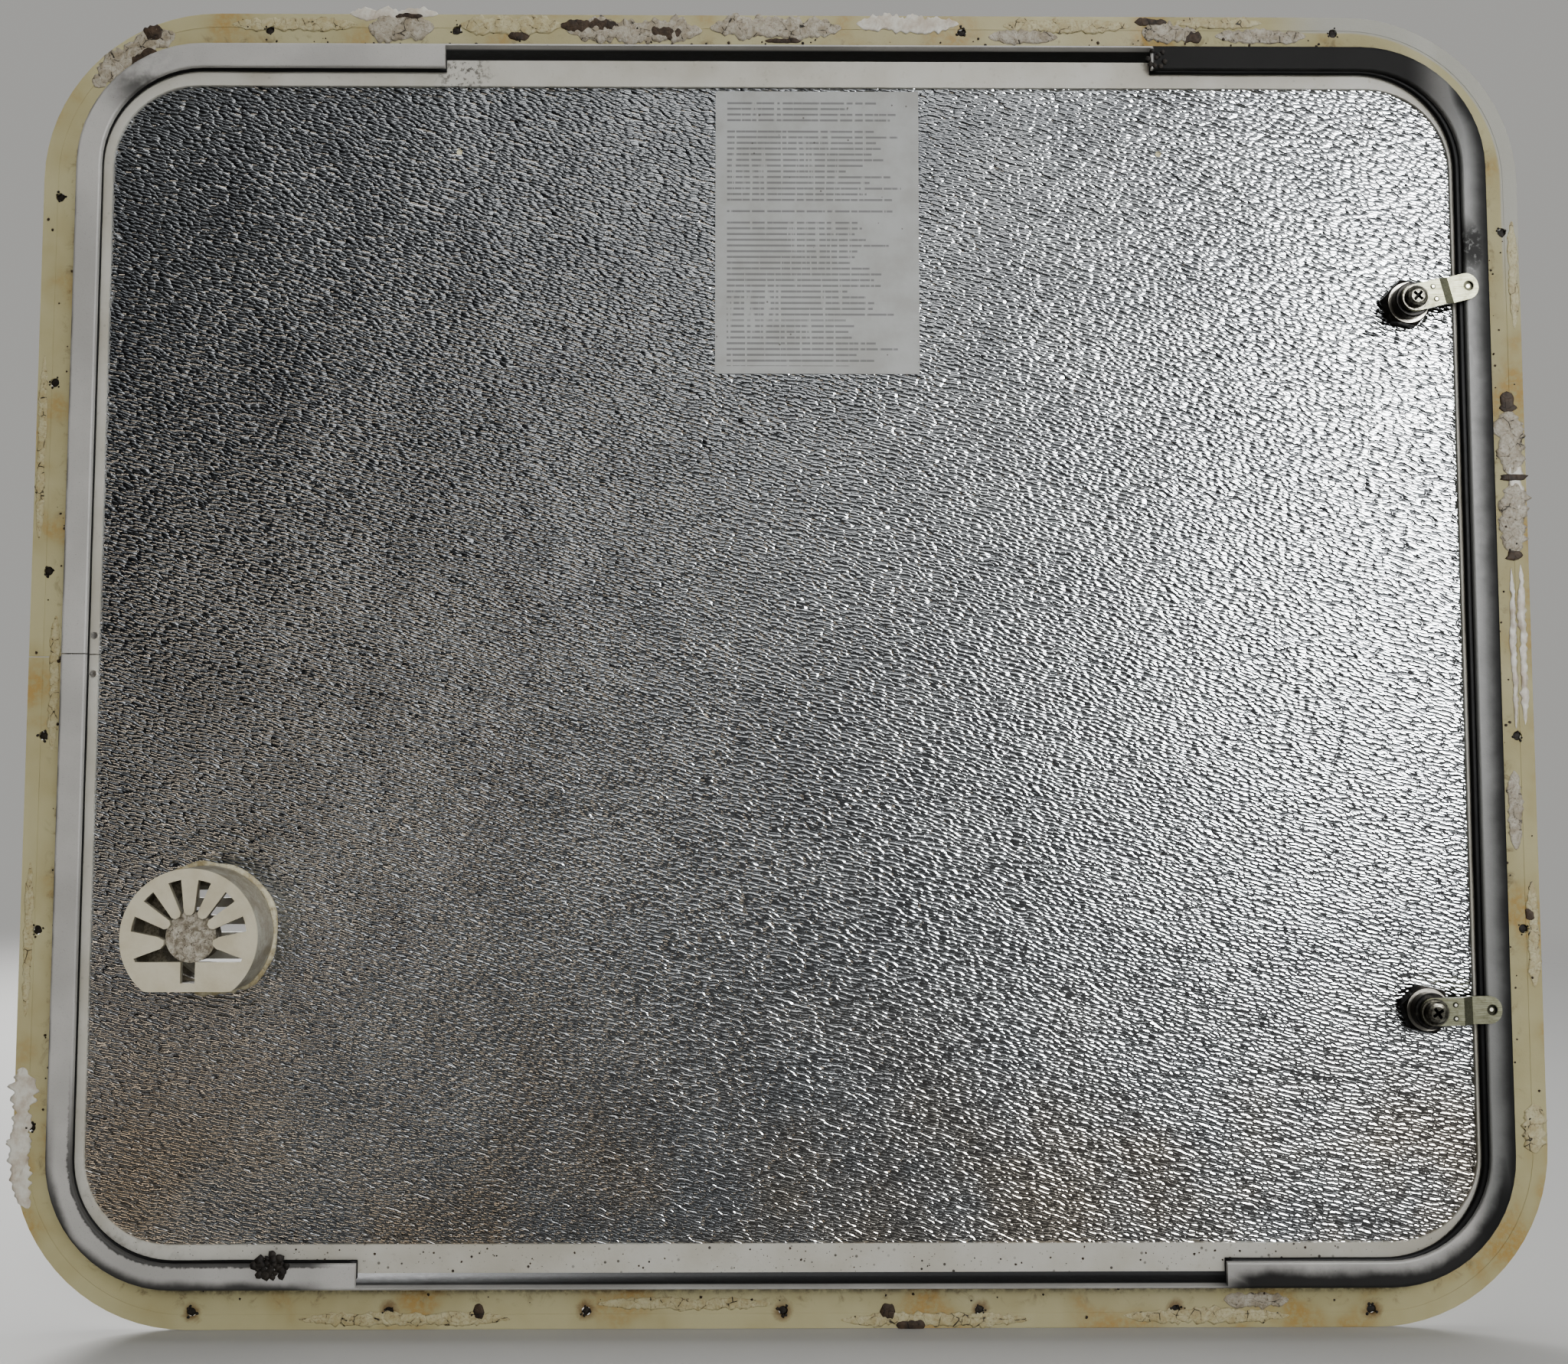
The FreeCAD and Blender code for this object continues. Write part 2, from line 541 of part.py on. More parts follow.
def cut_screw_holes(body):
    """All the wall screw holes, through the flange from its front face."""
    sketch = upright_sketch(body, "screw_holes", "Size.flange_front")
    rows = (
        ("top", TOP_SCREWS, True, "Size.screw_rise"),
        ("bottom", BOTTOM_SCREWS, True, "-Size.screw_rise"),
        ("hinge", HINGE_SCREWS, False, "Size.screw_side"),
        ("latch", LATCH_SCREWS, False, "-Size.screw_side"),
    )
    for row, places, level, line in rows:
        for i, pitches in enumerate(places):
            along = f"{pitches} * Size.screw_pitch"
            spot = (along, line) if level else (line, along)
            draw_circle(sketch, f"{row}_{i}", "Size.screw_hole_radius", *spot)
    cut(body, sketch, "Size.flange_thickness")


def cut_vent_gap(body, name, latch_end, hinge_end, line):
    """Removes the lip between two places along the top or the bottom, leaving the web."""
    sketch = upright_sketch(body, name, "Size.lip_front")
    inner = f"{line} * Size.lip_inner_height / 2 - {line} * Size.lip_inner_round"
    outer = f"{line} * Size.web_inner_height / 2"
    corners = ((latch_end, inner), (hinge_end, inner), (hinge_end, outer), (latch_end, outer))
    draw_outline(sketch, "gap", corners)
    cut(body, sketch, "Size.lip_thickness")


def make_frame_ring():
    """One extrusion bent round four corners: screw flange, web and inward lip."""
    body = new_body("frame_ring")
    ring(body, "flange", "Size.flange_front", "Size.flange_thickness", FRAME_OUTLINE, WEB_INSIDE)
    depth = "Size.lip_back - Size.flange_front"
    ring(body, "web", "Size.flange_front", depth, WEB_OUTLINE, WEB_INSIDE)
    ring(body, "lip", "Size.lip_front", "Size.lip_thickness", WEB_OUTLINE, LIP_INSIDE)
    round_edges(body, "Size.lip_outer_round", edges_inside_web("Size.lip_back", "0"))
    round_edges(body, "Size.lip_inner_round", edges_inside_web("Size.lip_back", "Size.lip_width"))
    cut_vent_gap(body, "top_gap", "-Size.top_gap_to_latch", "Size.top_gap_to_hinge", "1")
    cut_vent_gap(
        body, "bottom_gap", "-Size.bottom_gap_to_latch", "Size.bottom_gap_to_hinge", "-1"
    )
    cut_screw_holes(body)
    cut_leaf_rivet_holes(body, FRAME_LEAF_SIDE, "Size.flange_front", "Size.flange_thickness")
    cut_plate_rivet_holes(body, "Size.web_width / 2", "Size.web_thickness")
    groove = upright_sketch(body, "putty_groove", "-Size.putty_groove_depth")
    inset = "Size.putty_groove_width / 2 - Size.screw_inset"
    draw_rounded_rectangle(groove, "outer", *widened(FRAME_OUTLINE, inset))
    inset = "-Size.putty_groove_width / 2 - Size.screw_inset"
    draw_rounded_rectangle(groove, "inner", *widened(FRAME_OUTLINE, inset))
    cut(body, groove, "Size.putty_groove_depth")
    slit = upright_sketch(body, "splice", "Size.flange_front", "Size.web_width / 2")
    span = "3 * Size.flange_width"
    draw_rectangle(slit, "slit", span, "Size.splice_slit", "0", "Size.splice_height")
    cut(body, slit, depth)
    return body


# Places along the butt joint's plate, in shares of its length from the joint.
PLATE_RIVETS = (-0.36, -0.16, 0.16, 0.36)


def side_sketch(body, name, side):
    """A sketch seen from the hinge side: its x is Y, its y is Z, and it lies at X = side."""
    return new_sketch(body, name, "YZ_Plane", "0", "0", side)


def draw_plate_rivets(sketch, radius):
    middle = "Size.splice_clear + Size.splice_plate_depth / 2"
    for i, share in enumerate(PLATE_RIVETS):
        along = f"Size.splice_height + {share} * Size.splice_plate_length"
        draw_circle(sketch, f"rivet_{i}", radius, middle, along)


def cut_plate_rivet_holes(body, side, length):
    """Rivet holes through one layer of the butt joint, towards -X from a side sketch."""
    sketch = side_sketch(body, "rivet_holes", side)
    draw_plate_rivets(sketch, "Size.splice_rivet_radius")
    cut(body, sketch, length)


def make_frame_splice_plate():
    """A strip outside the web that ties the frame's butt joint."""
    body = new_body("frame_splice_plate")
    sketch = side_sketch(body, "plate", "Size.web_width / 2")
    middle = "Size.splice_clear + Size.splice_plate_depth / 2"
    height = "Size.splice_height"
    draw_rectangle(
        sketch, "plate", "Size.splice_plate_depth", "Size.splice_plate_length", middle, height
    )
    pad(body, sketch, "Size.splice_plate_thickness", inward=False)
    top = "Size.web_width / 2 + Size.splice_plate_thickness"
    cut_plate_rivet_holes(body, top, "Size.splice_plate_thickness")
    return body


def make_frame_splice_rivets():
    """Rivets through the web and the splice plate, flat on the web's inner face."""
    body = new_body("frame_splice_rivets")
    inside = side_sketch(body, "shanks", "Size.web_inner_width / 2")
    draw_plate_rivets(inside, "Size.splice_rivet_radius")
    pad(body, inside, "Size.web_thickness + Size.splice_plate_thickness", inward=False)
    outside = side_sketch(body, "heads", "Size.web_width / 2 + Size.splice_plate_thickness")
    draw_plate_rivets(outside, "Size.splice_rivet_head_radius")
    pad(body, outside, "Size.splice_rivet_head", inward=False)
    return body


# ---- seals ----------------------------------------------------------------------------------


def make_seal(name, side, top_end, bottom_end, reach):
    """A rubber strip under the lip round one side of the door, between the two vent gaps."""
    body = new_body(name)
    sketch = upright_sketch(body, "strip", "Size.seal_front")
    outline = ("Size.seal_outer_width", "Size.seal_outer_height", "Size.seal_outer_radius")
    draw_rounded_rectangle(sketch, "strip", *outline)
    pad(body, sketch, "Size.seal_thickness")
    inside = upright_sketch(body, "inside", "Size.seal_front", "0", "Size.seal_inner_rise")
    width = f"Size.lip_inner_width - 2 * {reach}"
    inner = (width, "Size.seal_inner_height", "Size.seal_inner_radius")
    draw_rounded_rectangle(inside, "inside", *inner)
    cut(body, inside, "Size.seal_thickness")
    far = "Size.frame_width"
    rest = upright_sketch(body, "rest", "Size.seal_front")
    corners = (
        (f"-{side} * {far}", far),
        (f"{side} * {top_end}", far),
        (f"{side} * {top_end}", "0"),
        (f"{side} * {bottom_end}", "0"),
        (f"{side} * {bottom_end}", f"-{far}"),
        (f"-{side} * {far}", f"-{far}"),
    )
    draw_outline(rest, "rest", corners)
    cut(body, rest, "Size.seal_thickness")
    return body


# ---- door -----------------------------------------------------------------------------------


def door_ring(body, name, depth, length, outer, inner):
    return ring(body, name, depth, length, outer, inner, "Size.door_centre")


def make_door_edge_trim():
    """The channel round the door: front leg, edge wall and the broad back leg over the skin."""
    body = new_body("door_edge_trim")
    leg = "Size.trim_thickness"
    door_ring(body, "front_leg", "Size.flange_front", leg, DOOR_OUTLINE, FRONT_OPENING)
    depth = "Size.door_back - Size.flange_front"
    door_ring(body, "edge", "Size.flange_front", depth, DOOR_OUTLINE, CORE_OUTLINE)
    door_ring(body, "back_leg", "Size.inner_skin_back", leg, DOOR_OUTLINE, SKIN_OPENING)
    slit = upright_sketch(body, "splice", "Size.flange_front", "Size.door_hinge_edge")
    span = "3 * Size.trim_front_leg"
    draw_rectangle(slit, "slit", span, "Size.splice_slit", "0", "Size.splice_height")
    cut(body, slit, depth)
    cut_trim_rivet_holes(body, "Size.inner_skin_back", leg)
    cut_leaf_rivet_holes(body, DOOR_LEAF_SIDE, "Size.flange_front", leg)
    return body


def draw_trim_rivets(sketch, radius):
    """Two rivets, one each side of the trim's butt joint."""
    across = "Size.door_centre + Size.opening_width / 2 + Size.trim_rivet_inset"
    for i, side in enumerate((-1, 1)):
        up = f"Size.splice_height + {side} * Size.trim_rivet_spread"
        draw_circle(sketch, f"rivet_{i}", radius, across, up)


def cut_trim_rivet_holes(body, depth, length):
    sketch = upright_sketch(body, "trim_rivet_holes", depth)
    draw_trim_rivets(sketch, "Size.trim_rivet_shank")
    cut(body, sketch, length)


def make_door_trim_rivets():
    """Two rivets that hold the trim's ends to the inner skin."""
    body = new_body("door_trim_rivets")
    shanks = upright_sketch(body, "shanks", "Size.inner_skin_front")
    draw_trim_rivets(shanks, "Size.trim_rivet_shank")
    pad(body, shanks, "Size.skin_thickness + Size.trim_thickness")
    heads = upright_sketch(body, "heads", "Size.door_back")
    draw_trim_rivets(heads, "Size.trim_rivet_radius")
    pad(body, heads, "Size.trim_rivet_head")
    return body


def cut_door_holes(body, depth, length):
    """The two lock holes and the vent's hole through one layer of the door."""
    sketch = upright_sketch(body, "door_holes", depth)
    draw_circle(sketch, "upper", "Size.lock_hole_radius", "Size.latch_x", "Size.latch_height")
    draw_circle(sketch, "lower", "Size.lock_hole_radius", "Size.latch_x", "-Size.latch_height")
    draw_circle(sketch, "vent", "Size.spigot_hole_radius", "Size.vent_side", "-Size.vent_drop")
    cut(body, sketch, length)


def make_door_layer(name, depth, thickness):
    """One layer of the door that fills the trim: a skin or the foam core."""
    body = new_body(name)
    sketch = upright_sketch(body, "sheet", depth, "Size.door_centre")
    draw_rounded_rectangle(sketch, "sheet", *CORE_OUTLINE)
    pad(body, sketch, thickness)
    cut_door_holes(body, depth, thickness)
    return body


def cut_cover_screw_holes(body, depth, length):
    """Pilot holes for the outside vent cover's screws."""
    sketch = upright_sketch(body, "cover_screw_holes", depth, "Size.vent_side", "-Size.vent_drop")
    draw_cover_screws(sketch, "Size.cover_screw_shank")
    cut(body, sketch, length)


def make_door_outer_skin():
    """The smooth outer sheet."""
    body = make_door_layer("door_outer_skin", "Size.outer_skin_front", "Size.skin_thickness")
    cut_cover_screw_holes(body, "Size.outer_skin_front", "Size.skin_thickness")
    return body


def make_door_foam_core():
    """The rigid foam between the skins."""
    thickness = "Size.inner_skin_front - Size.outer_skin_back"
    body = make_door_layer("door_foam_core", "Size.outer_skin_back", thickness)
    cut_cover_screw_holes(body, "Size.outer_skin_back", "Size.cover_screw_bite")
    return body


def make_door_inner_skin():
    """The embossed inner sheet, with two old screw holes near its top."""
    body = make_door_layer("door_inner_skin", "Size.inner_skin_front", "Size.skin_thickness")
    cut_trim_rivet_holes(body, "Size.inner_skin_front", "Size.skin_thickness")
    sketch = upright_sketch(body, "old_holes", "Size.inner_skin_front")
    up = "Size.opening_height / 2 - Size.skin_hole_drop"
    draw_circle(sketch, "hinge_side", "Size.skin_hole_radius", "Size.skin_hole_to_hinge", up)
    draw_circle(sketch, "latch_side", "Size.skin_hole_radius", "-Size.skin_hole_to_latch", up)
    cut(body, sketch, "Size.skin_thickness")
    return body


def make_blank_label():
    """A blank label on the inner skin, near its top edge."""
    body = new_body("blank_label")
    sketch = upright_sketch(body, "label", "Size.inner_skin_back")
    up = "Size.opening_height / 2 - Size.label_drop - Size.label_height / 2"
    draw_rectangle(sketch, "label", "Size.label_width", "Size.label_height", "-Size.label_side", up)
    pad(body, sketch, "Size.label_thickness")
    return body


# ---- hinge ----------------------------------------------------------------------------------

# The frame's leaf lies on the +X side of the pin, the door's on the -X side.
FRAME_LEAF_SIDE = 1
DOOR_LEAF_SIDE = -1


def draw_leaf_rivets(sketch, side, radius):
    across = f"Size.hinge_axis_x + {side} * Size.rivet_line"
    count = int(number("Size.leaf_rivet_count"))
    for i in range(count):
        up = f"({i} - (Size.leaf_rivet_count - 1) / 2) * Size.leaf_rivet_pitch"
        draw_circle(sketch, f"rivet_{i}", radius, across, up)


def cut_leaf_rivet_holes(body, side, depth, length):
    sketch = upright_sketch(body, "leaf_rivet_holes", depth)
    draw_leaf_rivets(sketch, side, "Size.leaf_rivet_shank")
    cut(body, sketch, length)


def make_hinge_leaf(name, side, first_knuckle, bore):
    """One leaf of the continuous hinge with every second knuckle, bored for the pin."""
    body = new_body(name)
    plate = upright_sketch(body, "plate", "Size.leaf_front")
    middle = f"Size.hinge_axis_x + {side} * Size.rivet_line"
    draw_rectangle(plate, "plate", "Size.leaf_width", "Size.hinge_length", middle, "0")
    pad(body, plate, "Size.leaf_thickness")
    cut_leaf_rivet_holes(body, side, "Size.leaf_front", "Size.leaf_thickness")
    foot = f"-Size.hinge_length / 2 + {first_knuckle} * Size.knuckle_pitch"
    foot = f"{foot} + Size.knuckle_gap / 2"
    knuckle = new_sketch(
        body, "knuckle", "XY_Plane", "Size.hinge_axis_x", "Size.hinge_axis_y", foot
    )
    reach = f"{side} * (Size.leaf_start + 1)"
    rise = "Size.leaf_front - Size.hinge_axis_y"
    top = "Size.knuckle_radius"
    draw_curl(knuckle, reach, rise, top)
    solid = pad(body, knuckle, "Size.knuckle_pitch - Size.knuckle_gap", inward=False)
    doc.recompute()
    repeat(body, solid, "Z_Axis", "2 * Size.knuckle_pitch", "Size.knuckle_count / 2")
    doc.recompute()
    hole = new_sketch(
        body, "bore", "XY_Plane", "Size.hinge_axis_x", "Size.hinge_axis_y", "-Size.hinge_length / 2"
    )
    draw_circle(hole, "bore", bore)
    cut(body, hole, "Size.hinge_length", away=True)
    return body


def draw_curl(sketch, reach, rise, radius):
    """A knuckle's section: a circle about the pin, run out level into its leaf."""
    size_now = number(radius)
    side = 1 if number(reach) > 0 else -1
    end = number(reach)
    low = number(rise)
    inner = side * math.sqrt(size_now ** 2 - low ** 2)
    corner_angle = math.atan2(low, inner)
    circle = Part.Circle(VECTOR(0, 0, 0), VECTOR(0, 0, 1), size_now)
    if side > 0:
        arc = Part.ArcOfCircle(circle, math.pi / 2, corner_angle + 2 * math.pi)
        top_point, low_point = 1, 2
    else:
        arc = Part.ArcOfCircle(circle, corner_angle, math.pi / 2 + 2 * math.pi)
        top_point, low_point = 2, 1
    curl = sketch.addGeometry(arc, False)
    top_line = sketch.addGeometry(
        Part.LineSegment(VECTOR(0, size_now, 0), VECTOR(end, size_now, 0)), False
    )
    end_line = sketch.addGeometry(
        Part.LineSegment(VECTOR(end, size_now, 0), VECTOR(end, low, 0)), False
    )
    low_line = sketch.addGeometry(
        Part.LineSegment(VECTOR(end, low, 0), VECTOR(inner, low, 0)), False
    )
    sketch.addConstraint(Sketcher.Constraint("Coincident", curl, 3, -1, 1))
    sketch.addConstraint(Sketcher.Constraint("Tangent", curl, top_point, top_line, 1))
    sketch.addConstraint(Sketcher.Constraint("Coincident", top_line, 2, end_line, 1))
    sketch.addConstraint(Sketcher.Constraint("Coincident", end_line, 2, low_line, 1))
    sketch.addConstraint(Sketcher.Constraint("Coincident", low_line, 2, curl, low_point))
    sketch.addConstraint(Sketcher.Constraint("Horizontal", top_line))
    sketch.addConstraint(Sketcher.Constraint("Vertical", end_line))
    sketch.addConstraint(Sketcher.Constraint("Horizontal", low_line))
    bind(sketch, "curl_radius", radius, "Radius", curl)
    bind(sketch, "curl_reach", reach, "DistanceX", -1, 1, end_line, 2)
    bind(sketch, "curl_rise", rise, "DistanceY", -1, 1, end_line, 2)


def make_hinge_pin():
    """The pin through all the knuckles."""
    pin = doc.addObject("Part::Cylinder", "hinge_pin")
    pin.Label = "hinge_pin"
    pin.setExpression("Radius", "Size.pin_radius")
    pin.setExpression("Height", "Size.hinge_length")
    pin.setExpression("Placement.Base.x", "Size.hinge_axis_x")
    pin.setExpression("Placement.Base.y", "Size.hinge_axis_y")
    pin.setExpression("Placement.Base.z", "-Size.hinge_length / 2")
    return pin


def make_hinge_rivets(name, side, grip):
    """Rivets through one leaf and the layer behind it."""
    body = new_body(name)
    shanks = upright_sketch(body, "shanks", "Size.leaf_front")
    draw_leaf_rivets(shanks, side, "Size.leaf_rivet_shank")
    pad(body, shanks, f"Size.leaf_thickness + {grip}")
    heads = upright_sketch(body, "heads", "Size.leaf_front - Size.leaf_rivet_head")
    draw_leaf_rivets(heads, side, "Size.leaf_rivet_radius")
    pad(body, heads, "Size.leaf_rivet_head")
    return body


# ---- latches --------------------------------------------------------------------------------


def turned_piece(name, height, profile):
    """A piece turned about a latch axis: corners are (radius, Y) pairs."""
    body = new_body(name)
    sketch = new_sketch(body, "profile", "XY_Plane", "Size.latch_x", "0", height)
    draw_outline(sketch, "profile", profile)
    turn(body, sketch)
    doc.recompute()
    return body


def make_lock_body(name, height):
    """The threaded lock body with its bezel, bored for the key plug."""
    bore = "Size.plug_radius + Size.plug_clearance"
    back = "Size.lock_back - Size.cam_running_gap"
    profile = (
        (bore, "Size.bezel_front"),
        ("Size.bezel_radius - Size.bezel_chamfer", "Size.bezel_front"),
        ("Size.bezel_radius", "Size.bezel_front + Size.bezel_chamfer"),
        ("Size.bezel_radius", "Size.bezel_front + Size.bezel_height"),
        ("Size.lock_radius", "Size.bezel_front + Size.bezel_height"),
        ("Size.lock_radius", f"{back} - Size.lock_chamfer"),
        ("Size.lock_radius - Size.lock_chamfer", back),
        (bore, back),
    )
    return turned_piece(name, height, profile)


def make_lock_gasket(name, height):
    profile = (
        ("Size.lock_radius", "Size.outer_skin_front - Size.bezel_gasket"),
        ("Size.bezel_radius", "Size.outer_skin_front - Size.bezel_gasket"),
        ("Size.bezel_radius", "Size.outer_skin_front"),
        ("Size.lock_radius", "Size.outer_skin_front"),
    )
    return turned_piece(name, height, profile)


def make_lock_nut(name, height):
    """The hexagon nut that holds the lock to the inner skin, its corners chamfered."""
    body = new_body(name)
    sketch = upright_sketch(body, "hexagon", "Size.inner_skin_back", "Size.latch_x", height)
    corners = []
    for i in range(6):
        turned_by = f"({60 * i} + Size.nut_turn) * 1 deg"
        corner = "Size.nut_across_flats / sqrt(3)"
        corners.append((f"{corner} * cos({turned_by})", f"{corner} * sin({turned_by})"))
    draw_outline(sketch, "hexagon", corners)
    draw_circle(sketch, "bore", "Size.lock_radius")
    pad(body, sketch, "Size.nut_height")
    doc.recompute()
    bevel = new_sketch(body, "bevel", "XY_Plane", "Size.latch_x", "0", height)
    back = "Size.inner_skin_back + Size.nut_height"
    corners = (
        ("Size.nut_across_flats / 2 - Size.nut_bevel", back),
        ("Size.nut_across_flats", f"{back} - Size.nut_across_flats / 4"),
        ("Size.nut_across_flats", back),
    )
    draw_outline(bevel, "bevel", corners)
    turn(body, bevel, taken=True)
    doc.recompute()
    return body


def make_lock_plug(name, height):
    """The key plug, with a keyway in its front and a square seat for the cam behind."""
    body = new_body(name)
    sketch = upright_sketch(body, "plug", "Size.plug_front", "Size.latch_x", height)
    draw_circle(sketch, "plug", "Size.plug_radius")
    pad(body, sketch, "Size.lock_back - Size.plug_front")
    keyway = upright_sketch(body, "keyway", "Size.plug_front", "Size.latch_x", height)
    draw_rectangle(keyway, "keyway", "Size.keyway_width", "Size.keyway_length")
    cut(body, keyway, "Size.keyway_depth")
    tapped = "Size.lock_back - Size.tapped_depth"
    hole = upright_sketch(body, "tapped_hole", tapped, "Size.latch_x", height)
    draw_circle(hole, "tapped_hole", "Size.screw_shank_radius")
    cut(body, hole, "Size.tapped_depth")
    return body


def make_lock_cam(name, height, tilt):
    """The joggled cam plate, its tip over the frame's lip."""
    body = new_body(name)
    middle = "Size.cam_width / 2"
    profile = new_sketch(body, "side", "XY_Plane", "0", "0", f"-{middle}")
    bend = "Size.joggle_start + Size.joggle_length"
    corners = (
        (f"-{middle}", "Size.cam_front"),
        ("Size.joggle_start", "Size.cam_front"),
        (bend, "Size.cam_tip_front"),
        ("Size.cam_reach", "Size.cam_tip_front"),
        ("Size.cam_reach", "Size.cam_tip_back"),
        (bend, "Size.cam_tip_back"),
        ("Size.joggle_start", "Size.cam_back"),
        (f"-{middle}", "Size.cam_back"),
    )
    draw_outline(profile, "side", [(f"-({across})", up) for across, up in corners])
    pad(body, profile, "Size.cam_width", inward=False)
    round_off_cam(body)
    hole = upright_sketch(body, "screw_hole", "Size.cam_front")
    draw_circle(hole, "screw_hole", "Size.screw_shank_radius")
    cut(body, hole, "Size.cam_thickness")
    dimple = upright_sketch(body, "dimple", "Size.cam_tip_back - Size.cam_dimple_depth")
    inset = "-(Size.cam_reach - Size.cam_dimple_inset)"
    draw_circle(dimple, "dimple", "Size.cam_dimple_radius", inset, "0")
    cut(body, dimple, "Size.cam_dimple_depth")
    boss = upright_sketch(body, "boss", "Size.cam_tip_front - Size.cam_dimple_depth")
    draw_circle(boss, "boss", "Size.cam_boss_radius", inset, "0")
    pad(body, boss, "Size.cam_dimple_depth")
    dots = upright_sketch(body, "dots", "Size.cam_back")
    for i, side in enumerate((-1, 1)):
        spread = f"{side} * Size.cam_dot_spread"
        draw_circle(dots, f"dot_{i}", "Size.cam_dot_radius", "-Size.cam_dot_reach", spread)
    pad(body, dots, "Size.cam_dot_height")
    tilt_about_latch(body, height, tilt)
    return body


def tilt_about_latch(piece, height, tilt):
    """Moves a piece drawn about the origin to its latch axis, its tip raised by the tilt."""
    piece.Placement = FreeCAD.Placement(VECTOR(0, 0, 0), FreeCAD.Rotation(VECTOR(0, 1, 0), 1))
    piece.setExpression("Placement.Base.x", "Size.latch_x")
    piece.setExpression("Placement.Base.z", height)
    piece.setExpression("Placement.Rotation.Angle", tilt)


def round_off_cam(body):
    """Rounds both ends of the cam plate as seen from behind."""
    tip = -number("Size.cam_reach")
    heel = number("Size.cam_width / 2")

    def wanted(edge):
        box = edge.BoundBox
        through = box.YLength > 1 and box.XLength < 0.01 and box.ZLength < 0.01
        return through and min(abs(box.XMin - tip), abs(box.XMin - heel)) < 0.01

    round_edges(body, "Size.cam_width / 2 - Size.cam_end_flat", wanted)


def make_cam_washer(name, height):
    profile = (
        ("Size.screw_shank_radius", "Size.cam_back"),
        ("Size.washer_radius", "Size.cam_back"),
        ("Size.washer_radius", "Size.washer_back"),
        ("Size.screw_shank_radius", "Size.washer_back"),
    )
    return turned_piece(name, height, profile)


def make_cam_screw(name, height, tilt):
    """The pan-head screw that holds the cam to the key plug, with a cross recess."""
    body = new_body(name)
    sketch = new_sketch(body, "profile", "XY_Plane")
    back = "Size.washer_back + Size.screw_head_height"
    profile = (
        ("0", "Size.lock_back - Size.tapped_depth"),
        ("Size.screw_shank_radius", "Size.lock_back - Size.tapped_depth"),
        ("Size.screw_shank_radius", "Size.washer_back"),
        ("Size.screw_head_radius", "Size.washer_back"),
        ("Size.screw_head_radius", "Size.washer_back + Size.screw_head_side"),
        ("Size.screw_dome_radius", "Size.washer_back + Size.screw_dome_height"),
        ("Size.screw_top_radius", back),
        ("0", back),
    )
    draw_outline(sketch, "profile", profile)
    turn(body, sketch)
    doc.recompute()
    for name_of_slot, across, up in (
        ("level", "Size.cross_recess_length", "Size.cross_recess_width"),
        ("upright", "Size.cross_recess_width", "Size.cross_recess_length"),
    ):
        slot = upright_sketch(body, name_of_slot, f"{back} - Size.cross_recess_depth")
        draw_rectangle(slot, name_of_slot, across, up)
        cut(body, slot, "Size.cross_recess_depth")
    tilt_about_latch(body, height, f"{tilt} + Size.cross_recess_turn")
    return body


def make_latch(where, height, tilt):
    """One cam latch: the pieces fixed to the door and the pieces that turn with its key."""
    fixed = [
        make_lock_body(f"{where}_lock_body", height),
        make_lock_gasket(f"{where}_lock_gasket", height),
        make_lock_nut(f"{where}_lock_nut", height),
    ]
    turning = [
        make_lock_plug(f"{where}_lock_plug", height),
        make_lock_cam(f"{where}_lock_cam", height, tilt),
        make_cam_washer(f"{where}_cam_washer", height),
        make_cam_screw(f"{where}_cam_screw", height, tilt),
    ]
    return fixed + turning


# ---- vent -----------------------------------------------------------------------------------

SPOKE_STEP = 30


def vent_sketch(body, name, depth):
    return upright_sketch(body, name, depth, "Size.vent_side", "-Size.vent_drop")


def make_vent_housing():
    """The plastic housing inside: a flatted tube with a spoked face, and a spigot through."""
    body = new_body("vent_housing")
    outside = vent_sketch(body, "outside", "Size.inner_skin_back")
    draw_flatted_circle(outside, "outside", "Size.vent_radius", "Size.vent_flat")
    pad(body, outside, "Size.vent_height")
    doc.recompute()
    round_edges(body, "Size.vent_flat_round", is_flat_corner)
    inside = vent_sketch(body, "inside", "Size.inner_skin_back")
    draw_flatted_circle(
        inside, "inside", "Size.vent_radius - Size.vent_wall", "Size.vent_flat - Size.vent_wall"
    )
    cut(body, inside, "Size.vent_height - Size.vent_face")
    face = vent_sketch(body, "face", "Size.vent_face_front")
    draw_flatted_circle(face, "face", "Size.slot_radius", "Size.chord_drop")
    cut(body, face, "Size.vent_face")
    add_spokes(body)
    drain = vent_sketch(body, "drain", "Size.vent_face_front")
    draw_rectangle(
        drain,
        "drain",
        "Size.drain_width",
        "Size.drain_depth",
        "0",
        "-Size.chord_drop - Size.drain_depth / 2",
    )
    cut(body, drain, "Size.vent_face")
    spigot = vent_sketch(body, "spigot", "Size.outer_skin_front")
    draw_circle(spigot, "outer", "Size.spigot_radius")
    draw_circle(spigot, "inner", "Size.spigot_radius - Size.spigot_wall")
    pad(body, spigot, "Size.inner_skin_back - Size.outer_skin_front")
    floor = vent_sketch(body, "floor", "Size.inner_skin_back")
    draw_flatted_circle(
        floor, "floor", "Size.vent_radius - Size.vent_wall / 2", "Size.vent_flat - Size.vent_wall / 2"
    )
    draw_circle(floor, "opening", "Size.vent_floor_opening")
    pad(body, floor, "Size.vent_wall")
    return body


def is_flat_corner(edge):
    """True on the two edges where the housing's flat meets its round wall."""
    box = edge.BoundBox
    along = box.YLength > 1 and box.XLength < 0.01 and box.ZLength < 0.01
    return along and abs(box.ZMin + number("Size.vent_drop + Size.vent_flat")) < 0.01


